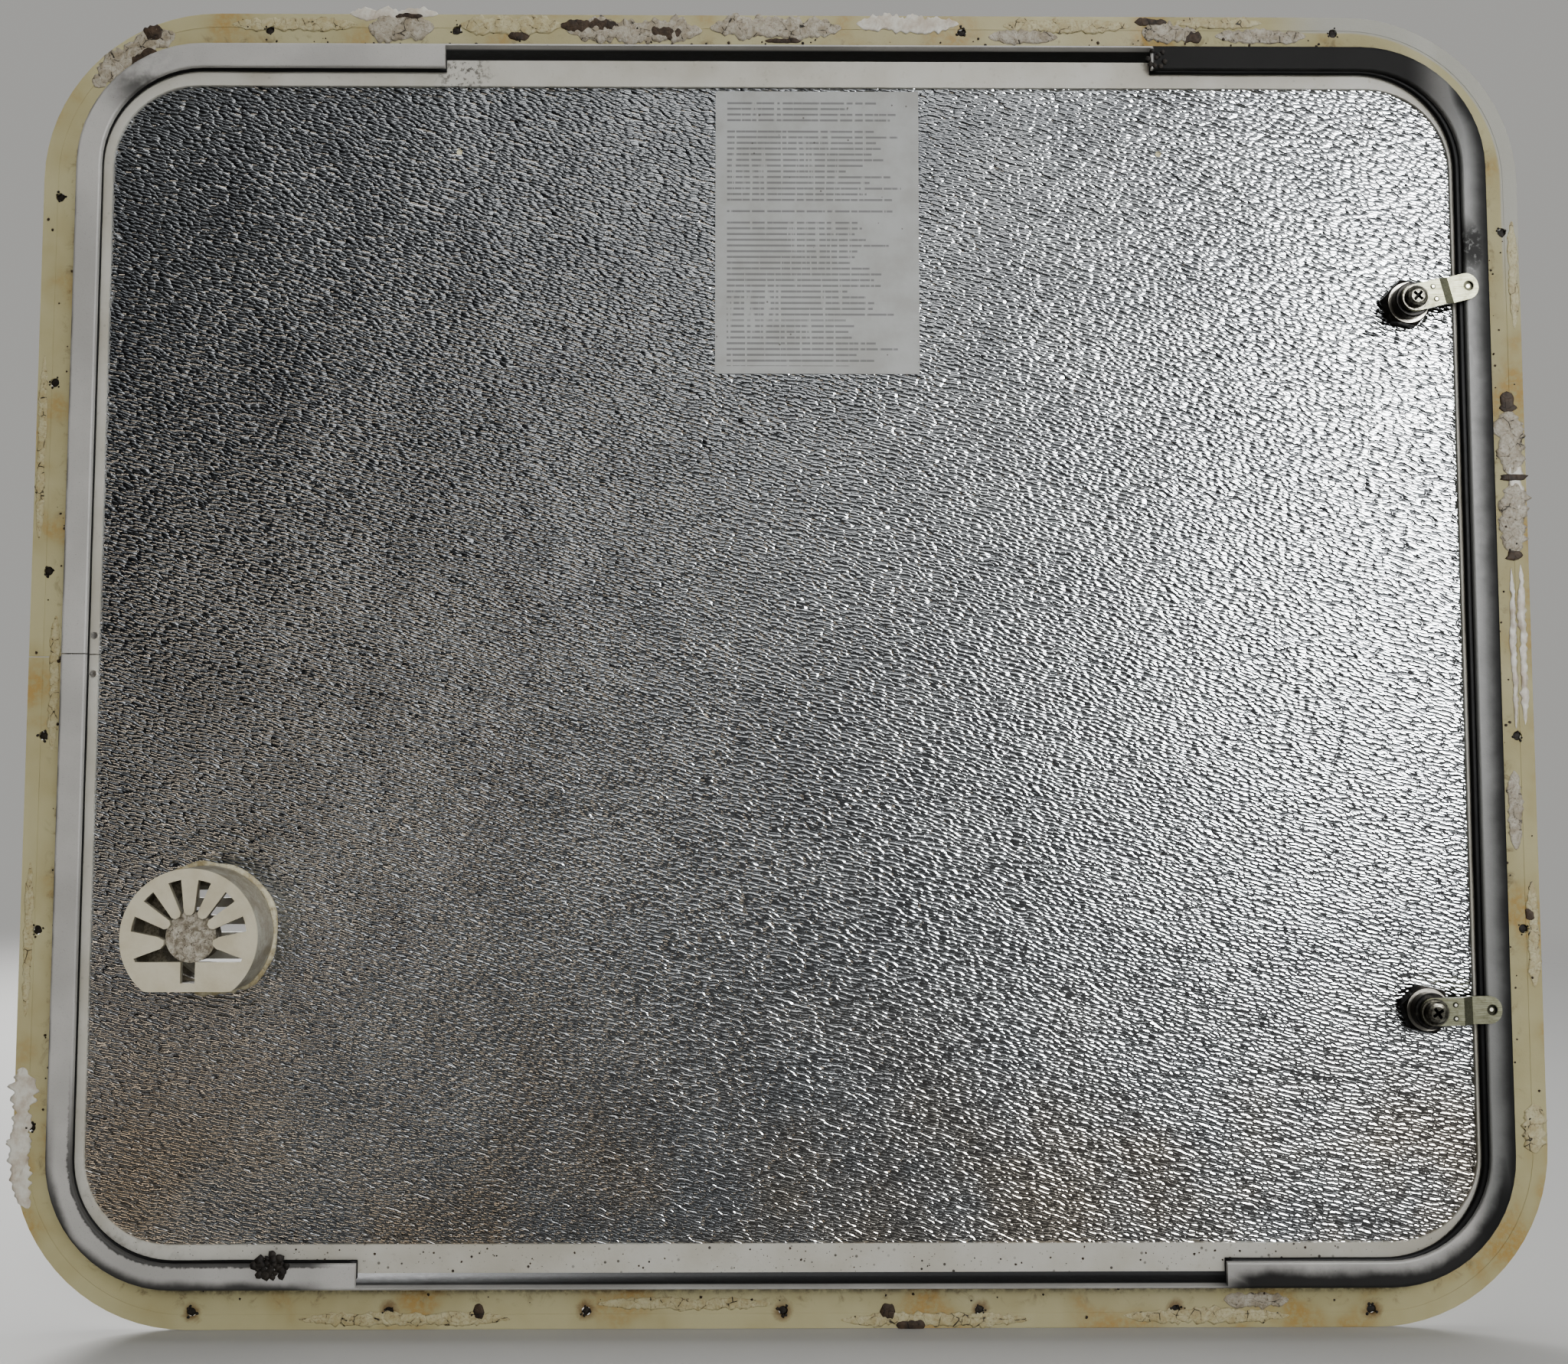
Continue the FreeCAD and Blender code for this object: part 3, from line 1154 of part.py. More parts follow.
def add_spokes(body):
    """Five tapered spokes between the slots, and a wide one at each side."""
    spokes = vent_sketch(body, "spokes", "Size.vent_face_front")
    outer = "(Size.slot_radius + Size.spoke_bite)"
    shoulder = "(Size.spoke_inner_radius + Size.spoke_nose)"
    for i in range(1, 6):
        angle = f"{SPOKE_STEP * i} deg"
        corners = []
        for along, side in (
            (shoulder, "-Size.spoke_inner_width / 2"),
            (outer, "-Size.spoke_width / 2"),
            (outer, "Size.spoke_width / 2"),
            (shoulder, "Size.spoke_inner_width / 2"),
            ("Size.spoke_inner_radius", "Size.spoke_nose_width / 2"),
            ("Size.spoke_inner_radius", "-Size.spoke_nose_width / 2"),
        ):
            across = f"({along}) * cos({angle}) - ({side}) * sin({angle})"
            up = f"({along}) * sin({angle}) + ({side}) * cos({angle})"
            corners.append((across, up))
        draw_outline(spokes, f"spoke_{i}", corners)
    for side in (-1, 1):
        nose = "Size.side_spoke_inner"
        middle = "-Size.side_spoke_drop"
        corners = (
            (f"{side} * {outer}", "Size.side_spoke_top"),
            (f"{side} * ({nose} + 2 * Size.spoke_nose)", "Size.side_spoke_shoulder"),
            (f"{side} * {nose}", f"{middle} + Size.spoke_nose_width / 2"),
            (f"{side} * {nose}", f"{middle} - Size.spoke_nose_width / 2"),
            (f"{side} * ({nose} + Size.spoke_nose)", f"{middle} - Size.side_spoke_chin"),
            (f"{side} * (Size.slot_radius - Size.spoke_bite)", "-Size.side_spoke_foot"),
            (f"{side} * {outer}", "-Size.side_spoke_foot"),
        )
        draw_outline(spokes, "side_spoke_" + ("left" if side < 0 else "right"), corners)
    pad(body, spokes, "Size.vent_face")
    doc.recompute()


def make_vent_hub():
    """The round plug that closes the middle of the vent, behind its spokes."""
    body = new_body("vent_hub")
    sketch = vent_sketch(body, "hub", "Size.vent_face_front - Size.hub_height")
    draw_circle(sketch, "hub", "Size.hub_radius")
    pad(body, sketch, "Size.hub_height")
    return body


def make_vent_sealant():
    """A bead of sealant round the housing's foot."""
    body = new_body("vent_sealant")
    sketch = vent_sketch(body, "bead", "Size.inner_skin_back")
    reach = "Size.vent_radius + Size.sealant_width"
    draw_flatted_circle(sketch, "outer", reach, "Size.vent_flat + Size.sealant_width")
    pad(body, sketch, "Size.sealant_height")
    inside = vent_sketch(body, "inside", "Size.inner_skin_back")
    draw_flatted_circle(inside, "inner", "Size.vent_radius", "Size.vent_flat")
    cut(body, inside, "Size.sealant_height")
    return body


def draw_cover_screws(sketch, radius):
    """Three screws round the outside cover, the first one straight up."""
    for i in range(3):
        angle = f"{120 * i + 90} deg"
        across = f"Size.cover_screw_circle * cos({angle})" if i else "0"
        draw_circle(sketch, f"screw_{i}", radius, across, f"Size.cover_screw_circle * sin({angle})")


def make_vent_outer_cover():
    """The round outside cover with level louvre slots."""
    body = new_body("vent_outer_cover")
    dome = vent_sketch(body, "dome", "Size.cover_front")
    draw_circle(dome, "dome", "Size.cover_radius")
    pad(body, dome, "Size.cover_height")
    front = number("Size.cover_front")
    round_edges(body, "Size.cover_round", lambda edge: abs(edge.BoundBox.YMax - front) < 0.01)
    hollow = vent_sketch(body, "hollow", "Size.cover_front + Size.cover_wall")
    draw_circle(hollow, "hollow", "Size.spigot_radius - Size.spigot_wall")
    cut(body, hollow, "Size.cover_height - Size.cover_wall")
    louvres = vent_sketch(body, "louvres", "Size.cover_front")
    for i in range(int(number("Size.louvre_count"))):
        up = f"({i} - (Size.louvre_count - 1) / 2) * Size.louvre_pitch"
        length = f"2 * sqrt((Size.louvre_length / 2) ^ 2 - ({up}) ^ 2)"
        draw_rectangle(louvres, f"louvre_{i}", length, "Size.louvre_width", "0", up)
    cut(body, louvres, "Size.cover_wall")
    holes = vent_sketch(body, "screw_holes", "Size.cover_front")
    draw_cover_screws(holes, "Size.cover_screw_shank")
    cut(body, holes, "Size.cover_height")
    return body


def make_vent_cover_screws():
    """Three screws through the outside cover into the door."""
    body = new_body("vent_cover_screws")
    shanks = vent_sketch(body, "shanks", "Size.cover_front")
    draw_cover_screws(shanks, "Size.cover_screw_shank")
    pad(body, shanks, "Size.cover_height + Size.skin_thickness + Size.cover_screw_bite")
    heads = vent_sketch(body, "heads", "Size.cover_front - Size.cover_screw_head")
    draw_cover_screws(heads, "Size.cover_screw_radius")
    pad(body, heads, "Size.cover_screw_head")
    return body


# ---- the whole door -------------------------------------------------------------------------


def make_pieces():
    """Every piece of the door, each an object with its own Label."""
    pieces = [
        make_frame_ring(),
        make_frame_splice_plate(),
        make_frame_splice_rivets(),
        make_seal(
            "lip_seal_hinge_side",
            "1",
            "Size.top_gap_to_hinge",
            "Size.bottom_gap_to_hinge",
            "Size.hinge_seal_reach",
        ),
        make_seal(
            "lip_seal_latch_side",
            "-1",
            "Size.top_gap_to_latch",
            "Size.bottom_gap_to_latch",
            "Size.latch_seal_reach",
        ),
        make_hinge_leaf("hinge_leaf_frame", FRAME_LEAF_SIDE, 0, "Size.pin_radius"),
        make_hinge_leaf(
            "hinge_leaf_door", DOOR_LEAF_SIDE, 1, "Size.pin_radius + Size.pin_clearance"
        ),
        make_hinge_pin(),
        make_hinge_rivets("hinge_rivets_frame", FRAME_LEAF_SIDE, "Size.flange_thickness"),
        make_hinge_rivets("hinge_rivets_door", DOOR_LEAF_SIDE, "Size.trim_thickness"),
        make_door_outer_skin(),
        make_door_foam_core(),
        make_door_inner_skin(),
        make_door_edge_trim(),
        make_door_trim_rivets(),
        make_blank_label(),
        make_vent_housing(),
        make_vent_hub(),
        make_vent_sealant(),
        make_vent_outer_cover(),
        make_vent_cover_screws(),
    ]
    pieces += make_latch("upper", "Size.latch_height", "Size.upper_cam_tilt")
    pieces += make_latch("lower", "-Size.latch_height", "Size.lower_cam_tilt")
    return pieces


def check_document(pieces):
    """Stops before anything is written if an object failed or a shape is not sound."""
    doc.recompute()
    for item in doc.Objects:
        if "Invalid" in item.State or "Error" in item.State:
            raise RuntimeError(f"{item.Name} failed: {item.State}")
    for piece in pieces:
        if piece.Shape.isNull() or not piece.Shape.isValid():
            raise RuntimeError(f"{piece.Label} has no sound shape")


def write_pieces(pieces):
    os.makedirs("parts", exist_ok=True)
    for piece in pieces:
        piece.Shape.exportStep(f"parts/{piece.Label}.step")


all_pieces = make_pieces()
check_document(all_pieces)
write_pieces(all_pieces)
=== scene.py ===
import json
import math
import random

import bmesh
import bpy
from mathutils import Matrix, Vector, noise


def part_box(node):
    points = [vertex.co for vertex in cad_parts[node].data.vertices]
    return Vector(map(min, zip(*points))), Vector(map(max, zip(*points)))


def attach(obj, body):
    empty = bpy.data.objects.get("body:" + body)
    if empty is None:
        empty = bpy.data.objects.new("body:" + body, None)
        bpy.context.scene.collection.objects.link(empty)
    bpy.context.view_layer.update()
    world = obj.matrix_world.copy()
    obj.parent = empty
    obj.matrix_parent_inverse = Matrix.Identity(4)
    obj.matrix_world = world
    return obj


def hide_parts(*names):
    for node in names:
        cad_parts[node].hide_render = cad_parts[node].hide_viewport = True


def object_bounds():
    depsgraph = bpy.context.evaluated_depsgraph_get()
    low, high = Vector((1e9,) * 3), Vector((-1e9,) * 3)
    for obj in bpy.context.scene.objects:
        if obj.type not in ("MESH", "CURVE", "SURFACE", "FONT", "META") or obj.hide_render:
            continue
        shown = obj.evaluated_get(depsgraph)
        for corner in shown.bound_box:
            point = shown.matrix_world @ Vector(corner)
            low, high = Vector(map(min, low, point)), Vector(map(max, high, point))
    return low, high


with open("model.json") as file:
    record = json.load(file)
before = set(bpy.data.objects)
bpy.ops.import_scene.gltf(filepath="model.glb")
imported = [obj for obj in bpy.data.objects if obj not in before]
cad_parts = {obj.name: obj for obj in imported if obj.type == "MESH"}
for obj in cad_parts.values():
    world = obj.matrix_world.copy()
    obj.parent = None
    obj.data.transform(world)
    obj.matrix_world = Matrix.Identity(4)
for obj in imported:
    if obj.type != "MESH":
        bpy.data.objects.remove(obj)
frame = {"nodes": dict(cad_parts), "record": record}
NODES = frame["nodes"]
cad_low, cad_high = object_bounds()

MM = 0.001

# The frame's own sizes, in metres, read from its nodes where a node has them.
FLANGE_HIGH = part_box("frame_ring")[1]
HALF_WIDTH = FLANGE_HIGH.x
HALF_HEIGHT = FLANGE_HIGH.z
FLANGE_CORNER = 92 * MM
FLANGE_WIDTH = 26.6 * MM
LIP_WIDTH = 13.2 * MM
LIP_BACK = FLANGE_HIGH.y
SKIN_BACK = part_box("door_inner_skin")[1].y
DOOR_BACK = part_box("door_edge_trim")[1].y
UPPER_LATCH = (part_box("upper_lock_nut")[0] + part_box("upper_lock_nut")[1]) / 2
LOWER_LATCH = (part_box("lower_lock_nut")[0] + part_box("lower_lock_nut")[1]) / 2
VENT_LOW, VENT_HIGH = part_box("vent_housing")
VENT_RADIUS = (VENT_HIGH.x - VENT_LOW.x) / 2
VENT_X = (VENT_HIGH.x + VENT_LOW.x) / 2
VENT_Z = VENT_HIGH.z - VENT_RADIUS
VENT_FLAT = VENT_Z - VENT_LOW.z
SCREW_LINE = 9 * MM
PITCH = 101.6 * MM
# Where the lip's two lengths end, along x, at the top and at the bottom vent gap.
TOP_LATCH_END, TOP_HINGE_END = -195.4 * MM, 179 * MM
LOW_LATCH_END, LOW_HINGE_END = -224 * MM, 215 * MM
# How far each cam is turned up at rest, in degrees.
UPPER_TILT, LOWER_TILT = 14.5, 1.0


# ---------------------------------------------------------------- materials

def tone(red, green, blue):
    """A colour given on the 0-255 display scale, as the linear colour a shader takes."""
    linear = []
    for part in (red, green, blue):
        share = part / 255
        linear.append(share / 12.92 if share <= 0.04045 else ((share + 0.055) / 1.055) ** 2.4)
    return (*linear, 1.0)


class Paint:
    """A Principled material, and short calls for the nodes that it needs."""

    def __init__(self, name, roughness=0.5, metallic=0.0):
        self.material = bpy.data.materials.new(name)
        self.material.use_nodes = True
        self.nodes = self.material.node_tree.nodes
        self.links = self.material.node_tree.links
        self.shader = self.nodes["Principled BSDF"]
        self.shader.inputs["Metallic"].default_value = metallic
        self.shader.inputs["Roughness"].default_value = roughness
        self.place = self.nodes.new("ShaderNodeTexCoord").outputs["Object"]
        split = self.nodes.new("ShaderNodeSeparateXYZ")
        self.links.new(self.place, split.inputs[0])
        self.x, self.y, self.z = split.outputs

    def put(self, socket, value):
        if isinstance(value, bpy.types.NodeSocket):
            self.links.new(value, socket)
        elif value is not None:
            socket.default_value = value

    def maths(self, operation, first, second=None):
        node = self.nodes.new("ShaderNodeMath")
        node.operation = operation
        for socket, value in zip(node.inputs, (first, second)):
            self.put(socket, value)
        return node.outputs[0]

    def times(self, first, second):
        return self.maths("MULTIPLY", first, second)

    def plus(self, first, second):
        return self.maths("ADD", first, second)

    def minus(self, first, second):
        return self.maths("SUBTRACT", first, second)

    def far(self, first, second):
        """How far a point with these two coordinates lies from zero."""
        return self.maths("SQRT", self.plus(self.times(first, first), self.times(second, second)))

    def rise(self, value, low, high):
        """0 under low, 1 over high, and smooth between; high may be the lower of the two."""
        node = self.nodes.new("ShaderNodeMapRange")
        node.interpolation_type = "SMOOTHSTEP"
        self.put(node.inputs["Value"], value)
        turned = high < low
        self.put(node.inputs["From Min"], high if turned else low)
        self.put(node.inputs["From Max"], low if turned else high)
        self.put(node.inputs["To Min"], 1.0 if turned else 0.0)
        self.put(node.inputs["To Max"], 0.0 if turned else 1.0)
        return node.outputs["Result"]

    def between(self, value, low, high, soft):
        """1 from low to high, with soft ends."""
        return self.times(self.rise(value, low - soft, low + soft), self.rise(value, high + soft, high - soft))

    def both(self, *masks):
        found = masks[0]
        for mask in masks[1:]:
            found = self.times(found, mask)
        return found

    def either(self, *masks):
        found = masks[0]
        for mask in masks[1:]:
            found = self.maths("MAXIMUM", found, mask)
        return found

    def vector(self, x, y, z):
        node = self.nodes.new("ShaderNodeCombineXYZ")
        for socket, value in zip(node.inputs, (x, y, z)):
            self.put(socket, value)
        return node.outputs[0]

    def stretched(self, cell_x, cell_y, cell_z, turn=0.0):
        """The place measured in cells of these sizes, turned about Y by some degrees."""
        node = self.nodes.new("ShaderNodeMapping")
        node.vector_type = "POINT"
        turned = self.nodes.new("ShaderNodeVectorRotate")
        turned.rotation_type = "Y_AXIS"
        self.put(turned.inputs["Vector"], self.place)
        self.put(turned.inputs["Angle"], math.radians(turn))
        self.put(node.inputs["Vector"], turned.outputs[0])
        node.inputs["Scale"].default_value = (1 / cell_x, 1 / cell_y, 1 / cell_z)
        return node.outputs[0]

    def noise(self, size, detail=4.0, roughness=0.55, where=None, warp=0.0):
        """Noise whose lumps are about this size, in metres."""
        node = self.nodes.new("ShaderNodeTexNoise")
        self.put(node.inputs["Vector"], self.place if where is None else where)
        node.inputs["Scale"].default_value = 1 / size
        node.inputs["Detail"].default_value = detail
        node.inputs["Roughness"].default_value = roughness
        node.inputs["Distortion"].default_value = warp
        return node.outputs[0]

    def cells(self, where, feature="F1", dimensions="3D", smooth=None):
        """How far a place is from the nearest of many strewn points, or from the border between two."""
        node = self.nodes.new("ShaderNodeTexVoronoi")
        node.feature = feature
        node.voronoi_dimensions = dimensions
        self.put(node.inputs["Vector"], where)
        node.inputs["Scale"].default_value = 1.0
        if smooth is not None:
            node.inputs["Smoothness"].default_value = smooth
        return node.outputs["Distance"]

    def strewn(self, size, feature="F1"):
        """The same for points about this far apart, in metres; the distance comes in that size."""
        return self.cells(self.stretched(size, size, size), feature)

    def mix(self, share, first, second):
        node = self.nodes.new("ShaderNodeMix")
        node.data_type = "RGBA"
        self.put(node.inputs[0], share)
        self.put(node.inputs[6], first)
        self.put(node.inputs[7], second)
        return node.outputs[2]

    def spot(self, x, z, radius, soft):
        """1 near a point of the XZ plane."""
        return self.rise(self.far(self.minus(self.x, x), self.minus(self.z, z)), radius + soft, radius)

    def depth(self, half_width, half_height, corner):
        """How far inside a rounded rectangle round the origin a point lies."""
        over_x = self.minus(self.maths("ABSOLUTE", self.x), half_width - corner)
        over_z = self.minus(self.maths("ABSOLUTE", self.z), half_height - corner)
        past = self.far(self.maths("MAXIMUM", over_x, 0.0), self.maths("MAXIMUM", over_z, 0.0))
        within = self.maths("MINIMUM", self.maths("MAXIMUM", over_x, over_z), 0.0)
        return self.minus(corner, self.plus(past, within))

    def colour(self, value):
        self.put(self.shader.inputs["Base Color"], value)

    def roughen(self, value, low, high):
        node = self.nodes.new("ShaderNodeMapRange")
        self.put(node.inputs["Value"], value)
        node.inputs["To Min"].default_value = low
        node.inputs["To Max"].default_value = high
        self.put(self.shader.inputs["Roughness"], node.outputs["Result"])

    def bump(self, *layers):
        """Each layer is (height, distance in metres)."""
        normal = None
        for height, distance in layers:
            node = self.nodes.new("ShaderNodeBump")
            node.inputs["Strength"].default_value = 1.0
            self.put(node.inputs["Height"], height)
            node.inputs["Distance"].default_value = distance
            self.put(node.inputs["Normal"], normal)
            normal = node.outputs[0]
        self.put(self.shader.inputs["Normal"], normal)


def frame_paint():
    """White and cream paint on the bent extrusion, with overspray on the lip and stains round the screw holes."""
    p = Paint("frame_paint", roughness=0.42)
    depth = p.depth(HALF_WIDTH - FLANGE_WIDTH, HALF_HEIGHT - FLANGE_WIDTH, FLANGE_CORNER - FLANGE_WIDTH)
    edge = p.depth(HALF_WIDTH, HALF_HEIGHT, FLANGE_CORNER)
    broad = p.noise(55 * MM, 3)
    fine = p.noise(3.5 * MM, 5, 0.65)
    grain = p.noise(0.7 * MM, 2, 0.7)
    # Back of the flange: cream paint, yellowed in patches, grubby towards the web.
    cream = p.mix(p.rise(broad, 0.35, 0.7), tone(178, 172, 138), tone(162, 152, 114))
    yellow = p.mix(p.both(p.rise(broad, 0.52, 0.66), p.rise(fine, 0.35, 0.6)), cream, tone(166, 140, 90))
    wipe = p.noise(9 * MM, 6, 0.7, warp=0.6)
    grime = p.both(p.rise(wipe, 0.52, 0.7), p.rise(edge, 9 * MM, 17 * MM))
    back = p.mix(p.times(grime, 0.7), yellow, tone(104, 92, 70))
    # Painted shade: a dark band, broken up by noise, in the corner between the flange and the web.
    corner_painted_shade = p.both(p.rise(edge, 16.5 * MM, 21 * MM), p.rise(fine, 0.3, 0.62))
    back = p.mix(p.times(corner_painted_shade, 0.85), back, tone(38, 33, 27))
    # Rust and dark rings round the bottom row of screw holes.
    across = p.maths("PINGPONG", p.plus(p.x, 20 * PITCH), PITCH / 2)
    row = p.maths("ABSOLUTE", p.minus(p.maths("ABSOLUTE", p.z), HALF_HEIGHT - SCREW_LINE))
    ring = p.rise(p.plus(p.far(across, row), p.times(p.minus(wipe, 0.5), 9 * MM)), 6.5 * MM, 2.2 * MM)
    back = p.mix(p.times(p.both(ring, p.rise(p.z, -0.30, -0.32)), 0.75), back, tone(104, 74, 42))
    # Lip: pale grey, darker along the latch side.
    lip = p.mix(p.rise(broad, 0.3, 0.7), tone(178, 176, 172), tone(160, 158, 154))
    lip = p.mix(p.both(p.rise(grain, 0.58, 0.72), p.rise(fine, 0.4, 0.6)), lip, tone(132, 130, 126))
    latch_side = p.rise(p.x, -0.345, -0.36)
    lip = p.mix(p.times(latch_side, 0.85), lip, tone(110, 111, 109))
    smoke = p.noise(26 * MM, 4, 0.6)

    def swayed(by, size):
        return p.plus(depth, p.times(by, size))

    # Black overspray: down the latch side, along the lip's ends, and in spots at two corners.
    latch_spray = p.both(latch_side, p.rise(swayed(p.minus(smoke, 0.5), 5 * MM), 12.5 * MM, 1.5 * MM))
    top_run = p.both(
        p.rise(p.x, -0.1955, -0.197), p.rise(p.z, 0.235, 0.29),
        p.rise(swayed(smoke, 5 * MM), 24 * MM, 15 * MM), p.rise(p.x, -0.377, -0.330))
    low_latch = p.both(
        p.rise(p.x, -0.222, -0.236), p.rise(p.z, -0.22, -0.28), p.rise(swayed(smoke, 9 * MM), 17 * MM, 9.5 * MM))
    low_hinge = p.both(
        p.rise(p.x, 0.222, 0.25), p.rise(p.z, -0.22, -0.285), p.rise(swayed(smoke, 6 * MM), 9.5 * MM, 4.5 * MM))
    low_inner = p.both(
        p.rise(p.x, 0.222, 0.24), p.rise(p.z, -0.20, -0.27), p.rise(swayed(fine, 4 * MM), 13.2 * MM, 14.2 * MM))
    top_hinge = p.both(p.spot(0.337, 0.300, 4 * MM, 24 * MM), p.rise(smoke, 0.35, 0.6))
    low_end = p.both(p.rise(p.x, -0.214, -0.232), p.rise(p.z, -0.30, -0.305), p.rise(depth, 9 * MM, 2 * MM))
    smudge = p.both(p.spot(-0.366, 0.214, 5 * MM, 16 * MM), p.rise(fine, 0.3, 0.5))
    dark = p.either(*[p.times(mask, share) for mask, share in (
        (latch_spray, 0.93), (top_run, 0.96), (low_latch, 0.94), (low_hinge, 0.85),
        (low_inner, 0.8), (top_hinge, 0.75), (low_end, 0.9), (smudge, 0.85))])
    # Painted shade: a thin dark line along the lip's outer edge on the hinge side, where it rolls over into the web.
    hinge_edge_painted_shade = p.both(p.rise(p.x, 0.35, 0.36), p.rise(depth, 2.4 * MM, 0.2 * MM), p.rise(smoke, 0.4, 0.6))
    lip = p.mix(p.times(hinge_edge_painted_shade, 0.75), lip, tone(70, 67, 62))
    lip = p.mix(dark, lip, tone(20, 20, 20))
    # Inside of the web: black in the vent gaps.
    web = p.mix(p.rise(fine, 0.4, 0.7), tone(14, 14, 14), tone(30, 28, 25))
    # Front of the flange: clean white paint.
    front = p.mix(p.rise(broad, 0.4, 0.7), tone(222, 221, 214), tone(210, 208, 198))
    bare = p.both(p.rise(edge, 9.5 * MM, 8 * MM), p.rise(p.x, -0.26, -0.30), p.rise(p.z, 0.18, 0.24))
    back = p.mix(p.times(bare, 0.85), back, tone(172, 172, 168))
    inside = p.rise(depth, -1.2 * MM, -0.6 * MM)
    seen = p.mix(p.rise(p.y, 15 * MM, 17.5 * MM), web, lip)
    whole = p.mix(inside, back, seen)
    whole = p.mix(p.rise(p.y, -1.2 * MM, -1.8 * MM), whole, front)
    p.colour(whole)
    p.put(p.shader.inputs["Specular IOR Level"], p.minus(0.5, p.times(dark, 0.4)))
    p.roughen(p.plus(fine, p.times(dark, 0.6)), 0.32, 0.62)
    p.bump((broad, 0.5 * MM), (fine, 0.12 * MM), (grain, 0.04 * MM))
    return p.material


def embossed_skin():
    """Bright aluminium sheet, rolled with small long pebbles."""
    p = Paint("embossed_skin", roughness=0.17, metallic=1.0)
    where = p.stretched(3.7 * MM, 3.7 * MM, 1.6 * MM, 16)
    flat = p.nodes.new("ShaderNodeSeparateXYZ")
    p.put(flat.inputs[0], where)
    drift = p.noise(16 * MM, 1, 0.5)
    along = p.plus(flat.outputs[0], p.times(drift, 1.4))
    across = p.plus(flat.outputs[2], p.times(p.noise(11 * MM, 1, 0.5), 1.5))
    spread = p.vector(along, across, 0.0)
    pebble = p.cells(spread, "SMOOTH_F1", "2D", smooth=0.25)
    dome = p.minus(1.0, p.times(pebble, pebble))
    grit = p.noise(0.9 * MM, 2, 0.6)
    sag = p.noise(75 * MM, 1, 0.5)
    base = p.mix(p.rise(p.noise(40 * MM, 3, 0.6), 0.3, 0.7), tone(190, 192, 193), tone(172, 174, 176))
    # Painted reflection: a warm brownish tint in patches towards the bottom of the metal, standing in for a reflected
    # brown floor.
    painted_warm_reflection = p.both(p.rise(p.z, -0.15, -0.29), p.rise(p.noise(90 * MM, 4, 0.6), 0.36, 0.66))
    base = p.mix(p.times(painted_warm_reflection, 0.6), base, tone(182, 168, 148))
    dings = p.either(*[p.spot(x, z, radius * MM, soft * MM) for x, z, radius, soft in (
        (0.1155, 0.1706, 0.9, 1.2), (0.0225, 0.122, 1.0, 1.2), (0.1416, 0.283, 0.9, 1.4), (0.129, 0.174, 0.4, 1.0))])
    chips = p.both(p.rise(p.strewn(30 * MM), 0.045, 0.03), p.rise(p.z, -0.21, -0.27))
    marks = p.either(p.both(dings, p.rise(grit, 0.3, 0.5)), chips)
    p.colour(p.mix(marks, base, tone(14, 13, 12)))
    p.roughen(p.either(marks, p.times(p.noise(25 * MM, 3), 0.12)), 0.07, 0.6)
    p.bump((sag, 1.5 * MM), (dome, 0.62 * MM), (grit, 0.04 * MM))
    return p.material


def trim_paint():
    """White painted edge trim, speckled with dirt, worse along the bottom."""
    p = Paint("trim_paint", roughness=0.4)
    broad = p.noise(40 * MM, 4)
    fine = p.noise(2.2 * MM, 5, 0.7)
    base = p.mix(p.rise(broad, 0.3, 0.7), tone(190, 188, 180), tone(174, 170, 158))
    dust = p.both(p.rise(p.noise(6 * MM, 6, 0.75), 0.56, 0.72), p.rise(fine, 0.4, 0.6))
    base = p.mix(p.times(dust, 0.45), base, tone(140, 130, 112))
    speck_size = p.strewn(5.5 * MM)
    speck = p.both(p.rise(speck_size, 0.16, 0.10), p.rise(broad, 0.35, 0.6))
    bottom = p.rise(p.z, -0.25, -0.30)
    speck = p.both(speck, p.plus(p.times(bottom, 0.85), 0.15))
    tiny = p.both(p.rise(p.strewn(2.1 * MM), 0.17, 0.09), bottom, p.rise(fine, 0.45, 0.6))
    smear = p.both(p.spot(0.170, 0.308, 3 * MM, 18 * MM), p.rise(p.noise(3 * MM, 5, 0.7), 0.5, 0.62))
    corner = p.both(
        p.rise(p.x, 0.27, 0.34), p.rise(p.z, -0.24, -0.30), p.rise(p.noise(8 * MM, 5, 0.65), 0.45, 0.7))
    base = p.mix(p.times(corner, 0.5), base, tone(110, 104, 96))
    marked = p.mix(p.either(speck, tiny, p.times(smear, 0.8)), base, tone(42, 32, 24))
    washed = p.mix(p.rise(broad, 0.35, 0.7), tone(216, 215, 208), tone(206, 204, 194))
    p.colour(p.mix(p.rise(p.y, 6 * MM, 2 * MM), marked, washed))
    p.roughen(fine, 0.3, 0.55)
    p.bump((broad, 0.3 * MM), (fine, 0.08 * MM), (speck, 0.12 * MM))
    return p.material


def brushed(name, light, dark, roughness, along, metallic=1.0, tarnish=0.35):
    """Drawn or plated metal with fine lines along one axis and a little tarnish."""
    p = Paint(name, roughness=roughness, metallic=metallic)
    cell = [9 * MM if axis == along else 0.25 * MM for axis in "xyz"]
    lines = p.noise(1.0, 3, 0.6, where=p.stretched(*cell))
    cloud = p.noise(5 * MM, 5, 0.65)
    base = p.mix(p.rise(lines, 0.3, 0.7), light, dark)
    p.colour(p.mix(p.times(p.rise(cloud, 0.45, 0.7), tarnish), base, tone(70, 64, 54)))
    p.roughen(p.times(p.plus(lines, cloud), 0.5), roughness * 0.7, roughness * 1.4)
    p.bump((lines, 0.03 * MM), (cloud, 0.06 * MM))
    return p.material


